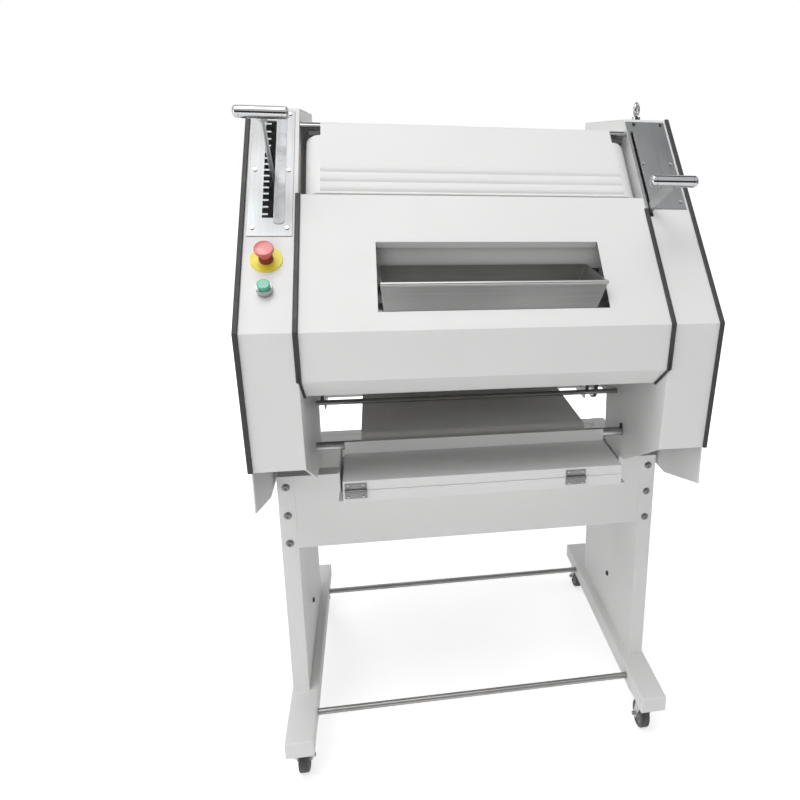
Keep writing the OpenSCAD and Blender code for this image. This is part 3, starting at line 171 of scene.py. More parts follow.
class MoulderStage(bpy.types.PropertyGroup):
    """Camera and light"""

    camera_place: FloatVectorProperty(name="Camera", description="Place of the camera", size=3,
                                      unit="LENGTH", default=(-0.2147, -1.8857, 1.4756))
    camera_yaw: number_property("Yaw", "Turn of the camera to the right", math.radians(12.15), "ROTATION")
    camera_pitch: number_property("Pitch", "Tilt of the camera", math.radians(-16.86), "ROTATION")
    camera_roll: number_property("Roll", "Roll of the camera", math.radians(1.43), "ROTATION")
    focal_pixels: number_property("Focal length", "Focal length in pixels", 768.4)
    axis_pixel: FloatVectorProperty(name="Optical axis", description="Pixel that the optical axis meets",
                                    size=2, default=(539.6, 379.6))
    picture_pixels: IntProperty(name="Picture", description="Width and height of the picture in pixels",
                                default=800)
    sky: number_property("Sky", "Strength of the light from all round", 0.20)
    key: number_property("Key light", "Power of the lamp at the upper left", 92.0)
    top: number_property("Top light", "Power of the lamp overhead", 92.0)
    front: number_property("Front light", "Power of the lamp behind the camera", 44.0)
    side: number_property("Side light", "Power of the lamp at the left", 32.0)
    back: number_property("Back light", "Power of the lamp behind the object", 60.0)
    right: number_property("Right light", "Power of the lamp at the right", 32.0)
    floor: colour_property("Floor", "Pale studio floor", (0.88, 0.88, 0.88))
    glow_near: number_property("Near glow", "Glow of the floor under the object", 0.60)
    glow_far: number_property("Far glow", "Glow of the floor far from the object", 0.95)


# Meshes

def grid_quads(rows, columns, close_rows, close_columns):
    """Corner numbers of the quads between the points of a grid that is stored row by row."""
    r, c = np.meshgrid(np.arange(rows if close_rows else rows - 1),
                       np.arange(columns if close_columns else columns - 1), indexing="ij")
    next_r, next_c = (r + 1) % rows, (c + 1) % columns
    corners = (r * columns + c, r * columns + next_c, next_r * columns + next_c, next_r * columns + c)
    return np.stack(corners, -1).reshape(-1, 4)


def surface(points, close_rows=False, close_columns=False):
    """A grid of points as (points, quads)."""
    rows, columns = points.shape[:2]
    return points.reshape(-1, 3), grid_quads(rows, columns, close_rows, close_columns)


def joined(parts):
    """Several meshes as one: the points follow each other and the quads count on."""
    starts = np.cumsum([0] + [len(points) for points, _ in parts[:-1]])
    return (np.concatenate([points for points, _ in parts]),
            np.concatenate([quads + start for (_, quads), start in zip(parts, starts)]))


def copies(part, places):
    """The same mesh moved to each of the places."""
    points, quads = part
    places = np.asarray(places, float).reshape(-1, 1, 3)
    steps = np.arange(len(places)).reshape(-1, 1, 1) * len(points)
    return (points[None] + places).reshape(-1, 3), (quads[None] + steps).reshape(-1, 4)


def across(axis):
    """Two unit vectors square to the axis and to each other."""
    other = RIGHT if abs(axis[0]) < 0.9 else UP
    u = np.cross(axis, other)
    u = u / np.linalg.norm(u)
    return u, np.cross(axis, u)


def around(count):
    """Angles of count steps round a circle."""
    return np.arange(count) * 2 * np.pi / count


def turned(along, radii, centre, axis, closed=False):
    """Ring i lies along[i] from the centre on the axis, and its point at angle a is radii[i, a] away."""
    along, radii = np.asarray(along, float), np.asarray(radii, float)
    angles = around(radii.shape[1])
    u, v = across(axis)
    out = np.cos(angles)[:, None] * u + np.sin(angles)[:, None] * v
    points = np.asarray(centre, float) + along[:, None, None] * axis + radii[:, :, None] * out
    return surface(points, close_rows=closed, close_columns=True)


def ringed(rings, scale, centre, axis, steps, closed=False):
    """Turned surface of (along, radius) rings, along in parts of the scale. A radius may differ by angle."""
    along, radii = zip(*rings)
    radii = np.stack([np.broadcast_to(radius, steps) for radius in radii])
    return turned(scale * np.array(along), radii, centre, axis, closed)


def lathe(profile, centre, axis, steps=48, closed=False):
    """Surface of revolution of a profile of (along, radius) points."""
    profile = np.asarray(profile, float)
    return turned(profile[:, 0], np.repeat(profile[:, 1:], steps, 1), centre, axis, closed)


def polygon_radius(angles, sides, flat):
    """Distance to the side of a regular polygon whose sides are flat away from the middle."""
    step = 2 * np.pi / sides
    return flat / np.cos(np.mod(angles, step) - step / 2)


def cross_radius(angles, length, width):
    """Distance to the edge of a cross of two bars: the longer of the two bars at each angle."""
    c, s = np.maximum(np.abs(np.cos(angles)), 1e-6), np.maximum(np.abs(np.sin(angles)), 1e-6)
    return np.maximum(np.minimum(length / c, width / s), np.minimum(width / c, length / s))


def arc(centre, radius, start, end, steps):
    """Points of a circular arc between two angles in degrees."""
    angles = np.radians(np.linspace(start, end, steps))
    return np.stack([centre[0] + radius * np.cos(angles), centre[1] + radius * np.sin(angles)], 1)


def socket_bolt(radius, axis, steps=48):
    """Dome head on a washer with a six-sided socket: rings of a flat washer, a dome and a hexagonal hole."""
    washer, hole = radius * 1.35, polygon_radius(around(steps), 6, radius * 0.45)
    rings = [(0.0, 0.0), (0.0, washer), (0.14, washer), (0.16, washer * 0.97), (0.16, radius * 1.01),
             (0.3, radius), (0.55, radius * 0.93), (0.68, radius * 0.75), (0.71, hole * 1.12), (0.68, hole),
             (0.34, hole), (0.3, 0.0)]
    return ringed(rings, radius, np.zeros(3), axis, steps)


def hex_bolt(radius, axis, steps=48):
    """Hexagonal head on a washer, its top corners turned off."""
    flats = polygon_radius(around(steps), 6, radius * 0.87)
    top = np.minimum(flats, radius * 0.9)
    rings = [(0.0, 0.0), (0.0, radius * 1.3), (0.15, radius * 1.3), (0.16, flats), (0.7, flats),
             (0.78, top * 0.97), (0.78, 0.5 * radius), (0.76, 0.0)]
    return ringed(rings, radius, np.zeros(3), axis, steps)


def cross_screw(radius, axis, steps=64):
    """Low round head with a crossed recess."""
    recess = cross_radius(around(steps), radius * 0.55, radius * 0.14)
    rings = [(0.0, 0.0), (0.0, radius), (0.2, radius), (0.42, radius * 0.86), (0.52, radius * 0.66),
             (0.53, recess * 1.05), (0.2, recess * 0.9), (0.18, 0.0)]
    return ringed(rings, radius, np.zeros(3), axis, steps)


def loop_path(a, b, radius, count):
    """Points and outward normals, evenly along a belt round two equal wheels at a and b in the Y-Z plane:
    a straight run, the half circle round b, the straight run back and the half circle round a."""
    a, b = np.asarray(a, float), np.asarray(b, float)
    run = np.linalg.norm(b - a)
    t = (b - a) / run
    n = np.array([-t[1], t[0]])
    bend = np.pi * radius
    s = np.arange(count)[:, None] * 2 * (run + bend) / count
    on_b, on_a = (s - run) / radius, (s - 2 * run - bend) / radius
    parts = [s < run, s < run + bend, s < 2 * run + bend, s >= 2 * run + bend]
    normal = np.select(parts, [n + 0 * s, n * np.cos(on_b) + t * np.sin(on_b), 0 * s - n,
                               -n * np.cos(on_a) - t * np.sin(on_a)])
    middle = np.select(parts, [a + t * s, b + 0 * s, b - t * (s - run - bend), a + 0 * s])
    return middle + radius * normal, normal, s[:, 0]


def add_piece(name, part, body, material, replaces=(), sharp=EDGE_TURN):
    """Makes the mesh an object at the origin that rides on a body, with merged seams and outward faces."""
    points, quads = part
    mesh = bpy.data.meshes.new(name)
    mesh.from_pydata(points.tolist(), [], quads.tolist())
    work = bmesh.new()
    work.from_mesh(mesh)
    bmesh.ops.remove_doubles(work, verts=work.verts, dist=SEAM_GAP)
    bmesh.ops.recalc_face_normals(work, faces=work.faces)
    work.to_mesh(mesh)
    work.free()
    mesh.polygons.foreach_set("use_smooth", np.ones(len(mesh.polygons), bool))
    mesh.set_sharp_from_angle(angle=math.radians(sharp))
    mesh.materials.append(material)
    piece = bpy.data.objects.new(name, mesh)
    bpy.context.scene.collection.objects.link(piece)
    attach(piece, body)
    if replaces:
        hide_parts(*replaces)
    return piece


def box_of(node):
    """Lowest corner, highest corner and middle of a node."""
    low, high = (np.array(corner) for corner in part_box(node))
    return low, high, (low + high) / 2


def axle(joint):
    """Y and Z of a joint's axis."""
    return np.array(JOINTS[joint]["pos_m"][1:], float)


def dress(names, material, width=0.0, segments=2):
    """Gives nodes a finish and, with a width, rounded edges."""
    for name in names:
        node = NODES[name]
        for slot in node.material_slots:
            slot.material = material
        if width > 0:
            weld = node.modifiers.new("Weld", "WELD")
            weld.merge_threshold = WELD_GAP
            bevel = node.modifiers.new("Round edges", "BEVEL")
            bevel.width = width
            bevel.segments = segments
            bevel.limit_method = "ANGLE"
            bevel.angle_limit = math.radians(EDGE_TURN)
            bevel.use_clamp_overlap = False
            bevel.loop_slide = False
            normals = node.modifiers.new("Flat faces", "WEIGHTED_NORMAL")
            normals.keep_sharp = True


# Materials

def add_node(tree, kind, links=None, **settings):
    """New node of a tree, its inputs linked to other sockets or set to values."""
    made = tree.nodes.new(kind)
    for name, value in settings.items():
        setattr(made, name, value)
    for socket, value in (links or {}).items():
        if isinstance(value, bpy.types.NodeSocket):
            tree.links.new(value, made.inputs[socket])
        else:
            made.inputs[socket].default_value = value
    return made


def looked_at(tree):
    """Socket that is 1 to the camera, to reflections and through clear things, and 0 to other light."""
    path = add_node(tree, "ShaderNodeLightPath").outputs
    seen = path["Is Camera Ray"]
    for ray in ("Is Glossy Ray", "Is Transmission Ray"):
        seen = add_node(tree, "ShaderNodeMath", {0: seen, 1: path[ray]}, operation="MAXIMUM").outputs[0]
    return seen


class Finish:
    """A material with one Principled shader; its methods add textures on Object coordinates."""

    def __init__(self, name, colour, roughness, metallic=0.0):
        self.material = bpy.data.materials.new(name)
        self.material.use_nodes = True
        self.tree = self.material.node_tree
        self.shader = self.tree.nodes["Principled BSDF"]
        self.colour = tuple(colour)
        self.set(**{"Base Color": (*colour, 1.0), "Roughness": roughness, "Metallic": metallic})
        self.coords = self.node("ShaderNodeTexCoord").outputs["Object"]
        self.normal = None

    def set(self, **values):
        for socket, value in values.items():
            self.shader.inputs[socket.replace("_", " ")].default_value = value

    def node(self, kind, links=None, **settings):
        return add_node(self.tree, kind, links, **settings)

    def noise(self, scale, detail=4.0, stretch=(1.0, 1.0, 1.0), rough=0.5):
        """Noise that repeats about scale times a metre, stretched along an axis with a small factor."""
        place = self.node("ShaderNodeMapping", {"Vector": self.coords, "Scale": stretch})
        made = self.node("ShaderNodeTexNoise", {"Vector": place.outputs[0], "Scale": scale, "Detail": detail,
                                                "Roughness": rough})
        return made.outputs["Fac"]

    def cells(self, scale):
        """Edges of random cells."""
        made = self.node("ShaderNodeTexVoronoi", {"Vector": self.coords, "Scale": scale},
                         feature="DISTANCE_TO_EDGE")
        return made.outputs["Distance"]

    def ramp(self, value, low, high, to_low, to_high):
        """Value between low and high, carried to the range to_low to to_high."""
        made = self.node("ShaderNodeMapRange", {"Value": value, "From Min": low, "From Max": high,
                                                "To Min": to_low, "To Max": to_high})
        return made.outputs["Result"]

    def rough(self, value, low, high):
        """Roughness between low and high."""
        self.tree.links.new(self.ramp(value, 0.3, 0.7, low, high), self.shader.inputs["Roughness"])

    def tint(self, value, share, other=None):
        """Base colour that goes to another colour, or to share of itself, where the value is high."""
        other = other or tuple(c * share for c in self.colour)
        link = self.shader.inputs["Base Color"].links
        first = link[0].from_socket if link else (*self.colour, 1.0)
        made = self.node("ShaderNodeMix", {"Factor": value, "A": first, "B": (*other, 1.0)},
                         data_type="RGBA")
        self.tree.links.new(made.outputs["Result"], self.shader.inputs["Base Color"])

    def bump(self, value, height, strength=1.0):
        """Relief of the value, height metres deep, over what is there already."""
        made = self.node("ShaderNodeBump", {"Height": value, "Distance": height, "Strength": strength})
        if self.normal:
            self.tree.links.new(self.normal, made.inputs["Normal"])
        self.normal = made.outputs["Normal"]
        self.tree.links.new(self.normal, self.shader.inputs["Normal"])


def powder_coat(name, colour):
    """White powder coat: fine orange peel, slow changes of gloss, faint dust and hairline scuffs."""
    made = Finish(name, colour, 0.5)
    made.set(Specular_IOR_Level=0.38)
    made.rough(made.noise(7.0, 3.0), 0.44, 0.58)
    made.tint(made.ramp(made.noise(3.0, 5.0), 0.45, 0.75, 0.0, 0.5), 0.95)
    scuffs = made.noise(30.0, 6.0, (1.0, 0.06, 1.0), 0.7)
    made.tint(made.ramp(scuffs, 0.72, 0.80, 0.0, 0.35), 0.88)
    made.bump(made.noise(700.0, 2.0), 0.02 * MM, 0.6)
    made.bump(made.noise(9.0, 2.0), 0.25 * MM, 0.25)
    return made.material


def brushed_steel(name, colour, stretch):
    """Stainless sheet: streaks along one axis in relief, gloss and shade, with smudges."""
    made = Finish(name, colour, 0.3, 1.0)
    streaks = made.noise(240.0, 2.0, stretch, 0.5)
    smudges = made.noise(9.0, 1.0)
    made.rough(smudges, 0.30, 0.40)
    made.tint(made.ramp(streaks, 0.3, 0.75, 0.0, 0.7), 0.8)
    made.tint(made.ramp(smudges, 0.35, 0.9, 0.0, 0.5), 0.86)
    made.bump(streaks, 0.01 * MM, 0.15)
    return made.material


def polished_chrome(name, colour):
    """Chrome: mirror gloss with fingerprints and fine turning lines."""
    made = Finish(name, colour, 0.1, 1.0)
    prints = made.noise(60.0, 5.0)
    made.rough(prints, 0.06, 0.16)
    made.tint(made.ramp(prints, 0.5, 0.8, 0.0, 0.6), 0.9)
    made.bump(made.noise(1500.0, 2.0, (1.0, 0.02, 0.02)), 0.003 * MM, 0.4)
    return made.material


def drawn_rod(name, colour):
    """Drawn bar: long fine lines, dull bands and small dark stains."""
    made = Finish(name, colour, 0.25, 1.0)
    lines = made.noise(1400.0, 3.0, (0.01, 1.0, 1.0), 0.6)
    bands = made.noise(14.0, 4.0, (1.0, 0.3, 0.3))
    made.rough(bands, 0.30, 0.42)
    made.tint(made.ramp(lines, 0.4, 0.7, 0.0, 0.6), 0.78)
    made.tint(made.ramp(bands, 0.5, 0.75, 0.0, 0.6), 0.7)
    made.bump(lines, 0.006 * MM, 0.5)
    return made.material


def zinc_plate(name, colour):
    """Zinc plate: spangled cells, dull stains and a fine grain."""
    made = Finish(name, colour, 0.4, 1.0)
    stains = made.noise(40.0, 5.0)
    made.rough(stains, 0.3, 0.48)
    made.tint(made.ramp(made.cells(220.0), 0.0, 0.25, 0.5, 0.0), 0.8)
    made.tint(made.ramp(stains, 0.5, 0.75, 0.0, 0.6), 0.72)
    made.bump(made.noise(800.0, 3.0), 0.01 * MM, 0.5)
    return made.material


def moulded_rubber(name, colour, grain, dust):
    """Rubber: pebbled grain, worn sheen and grey dust in patches."""
    made = Finish(name, colour, 0.55)
    worn = made.noise(35.0, 5.0)
    made.rough(worn, 0.42, 0.68)
    made.tint(made.ramp(worn, 0.48, 0.75, 0.0, dust), 1.0, (0.24, 0.235, 0.225))
    made.bump(made.noise(grain, 3.0), 0.06 * MM, 0.5)
    return made.material


def moulded_plastic(name, colour, roughness, coat):
    """Moulded plastic: fine mould grain, soft gloss changes and slightly darker handled patches."""
    made = Finish(name, colour, roughness)
    made.set(Coat_Weight=coat, Coat_Roughness=0.12)
    worn = made.noise(80.0, 4.0)
    made.rough(worn, roughness * 0.8, roughness * 1.3)
    made.tint(made.ramp(worn, 0.5, 0.8, 0.0, 0.5), 0.86)
    made.bump(made.noise(1200.0, 2.0), 0.01 * MM, 0.5)
    return made.material


def wool_felt(name, colour):
    """Wool felt: matted fibres in two scales, pale flecks, flour in patches and a soft sheen."""
    made = Finish(name, colour, 0.95)
    made.set(Sheen_Weight=0.35, Sheen_Roughness=0.6)
    fibres = made.noise(1100.0, 6.0, (1.0, 0.35, 1.0), 0.7)
    mats = made.noise(160.0, 4.0)
    made.tint(made.ramp(fibres, 0.35, 0.65, 0.0, 0.8), 0.84)
    made.tint(made.ramp(mats, 0.45, 0.7, 0.0, 0.5), 1.0, (0.72, 0.70, 0.67))
    made.tint(made.ramp(made.noise(6.0, 5.0), 0.5, 0.7, 0.0, 0.35), 1.0, (0.86, 0.85, 0.83))
    made.rough(mats, 0.88, 1.0)
    made.bump(fibres, 0.25 * MM, 0.8)
    made.bump(mats, 0.3 * MM, 0.5)
    return made.material


def cast_paint(name, colour, roughness):
    """Painted casting: sandy relief, uneven gloss and dusty hollows."""
    made = Finish(name, colour, roughness)
    sand = made.noise(320.0, 5.0)
    made.rough(made.noise(50.0, 3.0), roughness * 0.8, roughness * 1.25)
    made.tint(made.ramp(sand, 0.35, 0.7, 0.0, 0.7), 0.75)
    made.bump(sand, 0.12 * MM, 0.6)
    return made.material


def anodised_strip(name, colour):
    """Anodised strip: satin, faint lengthwise lines and cloudy wear."""
    made = Finish(name, colour, 0.38, 0.55)
    clouds = made.noise(28.0, 5.0)
    made.rough(clouds, 0.3, 0.5)
    made.tint(made.ramp(clouds, 0.42, 0.72, 0.0, 0.8), 0.74)
    made.bump(made.noise(900.0, 3.0, (1.0, 0.05, 0.05)), 0.006 * MM, 0.5)
    return made.material


def studio_floor(name, colour, near, far):
    """Matt floor that camera and reflections see glow a little, more so away from the object, so that
    it meets the white behind it and still takes the object's shadow."""
    made = Finish(name, colour, 0.9)
    made.set(Specular_IOR_Level=0.1, Emission_Color=(1.0, 1.0, 1.0, 1.0))
    seen = looked_at(made.tree)
    away = made.node("ShaderNodeVectorMath", {0: made.coords}, operation="LENGTH").outputs["Value"]
    glow = made.node("ShaderNodeMath", {0: seen, 1: made.ramp(away, 0.5, 2.6, near, far)},
                     operation="MULTIPLY")
    made.tree.links.new(glow.outputs[0], made.shader.inputs["Emission Strength"])
    return made.material


# Operators

class MoulderOperator(bpy.types.Operator):
    """Shared settings of the operators"""

    bl_options = {"REGISTER", "UNDO"}

    def settings(self, context):
        return context.scene.moulder_finishes, context.scene.moulder_sizes


# Rows of louvres in the rear cover, the lowest one's share of its height, and the columns' from its middle
LOUVRE_ROWS = 8
LOUVRE_LOW_SHARE = 0.13
LOUVRE_SPREAD_SHARE = 0.22


class MOULDER_OT_painted_sheet(MoulderOperator):
    """Powder coat and rounded edges on the housings, hood, lid, tray and stand"""

    bl_idname = "moulder.painted_sheet"
    bl_label = "Painted sheet metal"

    def execute(self, context):
        colours, sizes = self.settings(context)
        paint = powder_coat("white_powder_coat", colours.paint)
        dress(["left_foot", "right_foot"], paint, sizes.foot_round, 4)
        dress(["left_column", "right_column"], paint, sizes.sheet_round)
        dress(["front_beam", "rear_beam", "left_side_plate", "right_side_plate", "left_outer_panel",
               "right_outer_panel", "left_cover", "right_cover", "rear_cover", "hood", "top_cover",
               "tray_base", "tray_leaf"], paint, sizes.sheet_round)
        self.rear_louvres(sizes, paint)
        return {"FINISHED"}

    def rear_louvres(self, sizes, paint):
        low, high, middle = box_of("rear_cover")
        columns = middle[0] + np.array([-1, 1]) * (high[0] - low[0]) * LOUVRE_SPREAD_SHARE
        lowest = low[2] + LOUVRE_LOW_SHARE * (high[2] - low[2])
        rows = lowest + np.arange(LOUVRE_ROWS) * sizes.louvre_pitch
        places = [(x, high[1], z) for x in columns for z in rows]
        add_piece("rear_louvres", copies(louvre(sizes), places), "frame", paint, sharp=40.0)


def louvre(sizes, columns=29, rows=7):
    """Pressed louvre, with u from -1 to 1 across and v from 0 to 1 down: it stands out by the depth times
    the root of 1 - u^4 times the sine of v's quarter turn, is open to below and closes flat on the sheet."""
    u = np.linspace(-1.0, 1.0, columns)
    v = np.linspace(0.0, 1.0, rows)
    arch = np.sqrt(np.maximum(1 - u ** 4, 0.0))
    sunk = np.full((2, 1), -sizes.louvre_sink)
    out = np.concatenate([sizes.louvre_depth * np.sin(v * np.pi / 2)[:, None] * arch, sunk * arch])
    down = np.concatenate([v, [0.96, 0.0]]) * sizes.louvre_height
    points = np.zeros((rows + 2, columns, 3))
    points[:, :, 0] = sizes.louvre_width / 2 * u
    points[:, :, 1] = out
    points[:, :, 2] = -down[:, None]
    return surface(points, close_rows=True)


class MOULDER_OT_metalwork(MoulderOperator):
    """Brushed, chromed and plated finishes of the bare metal pieces"""

    bl_idname = "moulder.metalwork"
    bl_label = "Bare metal"

    def execute(self, context):
        colours, sizes = self.settings(context)
        sheet = brushed_steel("brushed_sheet", colours.steel, (0.015, 1.0, 1.0))
        dress(["hopper"], sheet, sizes.metal_round)
        plates = brushed_steel("brushed_plate", colours.plate, (1.0, 0.03, 0.03))
        dress(["control_plates"], plates, sizes.metal_round * 0.5)
        ground = brushed_steel("ground_roller", colours.steel, (1.0, 0.05, 0.05))
        rollers = [end + kind for end in ("front", "rear") for kind in ("_sheeting_roller", "_belt_roller")]
        dress(rollers, ground)
        chrome = polished_chrome("polished_chrome", colours.chrome)
        dress(["top_cover_pins", "plate_screws", "eye_bolt"], chrome)
        dress(["cross_rods", "guard_rod"], drawn_rod("drawn_rods", colours.rod))
        zinc = zinc_plate("zinc_plate", colours.zinc)
        dress(["left_lever_arm", "right_lever_arm", "caster_plates", *(name + "_fork" for name in CASTERS)],
              zinc, sizes.metal_round)
        dress(["tray_hinges_fixed", "tray_hinges_folding"], zinc_plate("hinge_steel", colours.hinge),
              sizes.metal_round)
        dress(["motor_pulley"], zinc)
        strip = anodised_strip("anodised_scale", colours.scale)
        dress(["scale_strip"], strip, sizes.metal_round * 0.4)
        return {"FINISHED"}


class MOULDER_OT_rubber_trims(MoulderOperator):
    """Black edging, its rounded section and the bumpers of the top cover"""

    bl_idname = "moulder.rubber_trims"
    bl_label = "Rubber trims"

    def execute(self, context):
        colours, sizes = self.settings(context)
        rubber = moulded_rubber("black_edging", colours.trim, 900.0, 0.12)
        dress(["outer_trims", "inner_trims", "top_cover_bumpers"], rubber, sizes.trim_round, 3)
        return {"FINISHED"}


def mushroom(sizes):
    """Profile of the stop button, as (along, radius) from the slope: a neck, a cone that widens to the head
    and a low dome with a rounded rim."""
    head, neck, tail = sizes.stop_radius, sizes.stop_neck, sizes.button_tail
    top = box_top("stop_button", tail)
    rim, low = head * 0.12, top - head * 0.75
    bend = arc((top - head * 0.07 - rim, head - rim), rim, 90, 20, 6)
    dome = np.stack([top - head * 0.07 * np.linspace(1, 0, 8) ** 2, (head - rim) * np.linspace(1, 0, 8)], 1)
    cone = [(-tail, 0.0), (-tail, neck), (low, neck), (low, neck * 1.2), (top - head * 0.42, head * 0.93)]
    return np.concatenate([cone, [(top - head * 0.34 - rim, head)], bend, dome])


def box_top(node, tail):
    """Height of a button above the slope: twice as far as its middle, and the tail's length more."""
    return 2 * float(np.dot(box_of(node)[2] - slope_foot(node), SLOPE_OUT)) + tail


def slope_foot(node):
    """Where the axis of a button meets the slope: its middle, moved along the slope's normal on to the plane
    under the stop disc."""
    middle = box_of(node)[2]
    disc = box_of("stop_disc")[2] - SLOPE_OUT * bpy.context.scene.moulder_sizes.disc_thickness / 2
    return middle - SLOPE_OUT * np.dot(middle - disc, SLOPE_OUT)


class MOULDER_OT_buttons(MoulderOperator):
    """Mushroom stop button, its disc, the start button and the knurled bezels"""

    bl_idname = "moulder.buttons"
    bl_label = "Buttons"

    def execute(self, context):
        colours, sizes = self.settings(context)
        red = moulded_plastic("red_plastic", colours.red, 0.34, 1.0)
        stop_foot, start_foot = slope_foot("stop_button"), slope_foot("start_button")
        add_piece("stop_mushroom", lathe(mushroom(sizes), stop_foot, SLOPE_OUT, 64), "stop_button", red,
                  ["stop_button"])
        dress(["stop_disc"], moulded_plastic("yellow_plastic", colours.yellow, 0.4, 0.1), sizes.metal_round)
        green = moulded_plastic("green_plastic", colours.green, 0.22, 0.4)
        dress(["start_button"], green, sizes.metal_round)
        chrome = polished_chrome("bezel_chrome", colours.chrome)
        bezel = knurled_ring(sizes.bezel_radius, sizes.bezel_height, sizes.start_radius + sizes.bezel_play,
                             start_foot)
        add_piece("start_bezel", bezel, "frame", chrome, ["button_bezels"], 25.0)
        # The collar under the stop button is the red plastic darkened to 0.35 of itself: painted shade for
        # the shadow under the mushroom head.
        painted_shade_red = moulded_plastic("dark_red_plastic", [c * 0.35 for c in colours.red], 0.4, 0.1)
        collar = knurled_ring(sizes.stop_neck * 1.35, sizes.collar_height,
                              sizes.stop_neck + sizes.bezel_play,
                              stop_foot + SLOPE_OUT * sizes.disc_thickness)
        add_piece("stop_collar", collar, "frame", painted_shade_red, sharp=25.0)
        return {"FINISHED"}


def knurled_ring(radius, high, bore, foot, notches=20):
    """Ring round a button: its outer radius dips at each of the notches, its top edge is turned off."""
    angles = around(notches * 8)
    grip = radius * (1 - 0.045 * (np.cos(notches * angles) > 0.2))
    rings = [(0.0, bore), (0.0, radius), (0.12, radius), (0.14, grip), (0.55, grip), (0.6, radius * 0.96),
             (0.9, radius * 0.94), (1.0, radius * 0.89), (1.0, bore + radius * 0.04), (0.95, bore)]
    return ringed(rings, high, foot, SLOPE_OUT, len(angles), closed=True)


class MOULDER_OT_lever_handles(MoulderOperator):
    """Turned chrome handles with a groove and a rounded cap at each end"""

    bl_idname = "moulder.lever_handles"
    bl_label = "Lever handles"

    def execute(self, context):
        colours, _ = self.settings(context)
        chrome = polished_chrome("handle_chrome", colours.chrome)
        for side in ("left", "right"):
            node = side + "_lever_handle"
            low, high, middle = box_of(node)
            half, radius = (high[0] - low[0]) / 2, (high[2] - low[2]) / 2
            add_piece(side + "_turned_handle", lathe(handle_profile(half, radius), middle, RIGHT, 56),
                      side + "_lever", chrome, [node])
        return {"FINISHED"}


def handle_profile(half, radius):
    """Half of the handle from its middle to its cap, mirrored: a slight belly, a groove and a round end."""
    cap = arc((half - radius * 0.55, radius * 0.45), radius * 0.55, 90, 0, 9)
    groove = half - radius * 0.95
    width = radius * 0.07
    right = np.concatenate([[(0.0, radius * 0.995), (half * 0.5, radius), (groove - width, radius),
                             (groove - width * 0.6, radius * 0.93), (groove + width * 0.6, radius * 0.93),
                             (groove + width, radius)], cap, [(half, 0.0)]])
    left = right[:0:-1] * (-1, 1)
    return np.concatenate([left, right])


class MOULDER_OT_felt_belt(MoulderOperator):
    """Felt belt as one loop with soft edges, an uneven nap and a sewn joint"""

    bl_idname = "moulder.felt_belt"
    bl_label = "Felt belt"

    def execute(self, context):
        colours, sizes = self.settings(context)
        low, high, _ = box_of("felt_belt")
        thick = sizes.felt_thickness
        outer = (high[2] - low[2]) / 2
        middle = outer - thick / 2
        level = (high[2] + low[2]) / 2
        path, normal, s = loop_path((low[1] + outer, level), (high[1] - outer, level), middle, 480)
        section = felt_section(high[0], thick)
        ripple = np.random.default_rng(7).normal(0.0, sizes.felt_nap, (len(s), len(section)))
        ripple[:, section[:, 1] < 0] *= 0.2
        seam = np.exp(-((s - s.mean() * 0.22) / (sizes.seam_width / 2)) ** 2)
        lift = section[None, :, 1] - np.abs(ripple) - seam[:, None] * thick * 0.2 * (section[None, :, 1] > 0)
        points = np.zeros((len(s), len(section), 3))
        points[:, :, 0] = section[None, :, 0]
        points[:, :, 1:] = path[:, None, :] + lift[:, :, None] * normal[:, None, :]
        felt = wool_felt("wool_felt", colours.felt)
        piece = add_piece("felt_loop", surface(points, True, True), "frame", felt, ["felt_belt"],
                          60.0)
        return {"FINISHED"}


def felt_section(half, thick, steps=33):
    """Section of the belt as (across, out) points: flat faces and half-round edges."""
    r = thick / 2
    right, left = arc((half - r, 0.0), r, 90, -90, 7), arc((r - half, 0.0), r, 270, 90, 7)
    span = np.linspace(r - half, half - r, steps)[1:-1]
    top = np.stack([span, np.full(len(span), r)], 1)
    return np.concatenate([top, right, top[::-1] * (1, -1), left])


class MOULDER_OT_drive(MoulderOperator):
    """Toothed drive belts, motor fins and fan cowl, bearings and the pressing board"""

    bl_idname = "moulder.drive"
    bl_label = "Drive"

    def execute(self, context):
        colours, sizes = self.settings(context)
        low, high, _ = box_of("drive_belts")
        motor = axle("motor_pulley_spin")
        pairs = [(low[0], axle("rear_sheeting_roller_spin")),
                 (high[0] - sizes.drive_width, axle("rear_belt_roller_spin"))]
        radius = high[2] - pairs[0][1][1] - sizes.drive_thickness
        belts = [toothed_belt(sizes, motor, wheel, radius, x) for x, wheel in pairs]
        rubber = moulded_rubber("belt_rubber", colours.rubber, 700.0, 0.2)
        add_piece("toothed_belts", joined(belts), "frame", rubber, ["drive_belts"], 25.0)
        enamel = cast_paint("motor_enamel", colours.enamel, 0.45)
        dress(["drive_motor"], enamel, sizes.metal_round)
        low, high, _ = box_of("drive_motor")
        add_piece("motor_fins", motor_fins(sizes, motor, low[0], high[0]), "frame", enamel)
        cowl = fan_cowl(sizes, (low[0], *motor))
        add_piece("motor_fan_cowl", cowl, "frame", enamel, sharp=25.0)
        dress(["roller_bearings"], cast_paint("cast_housings", colours.iron, 0.55), sizes.metal_round)
        board = moulded_plastic("white_board", colours.board, 0.5, 0.0)
        dress(["pressing_board"], board, sizes.sheet_round)
        return {"FINISHED"}


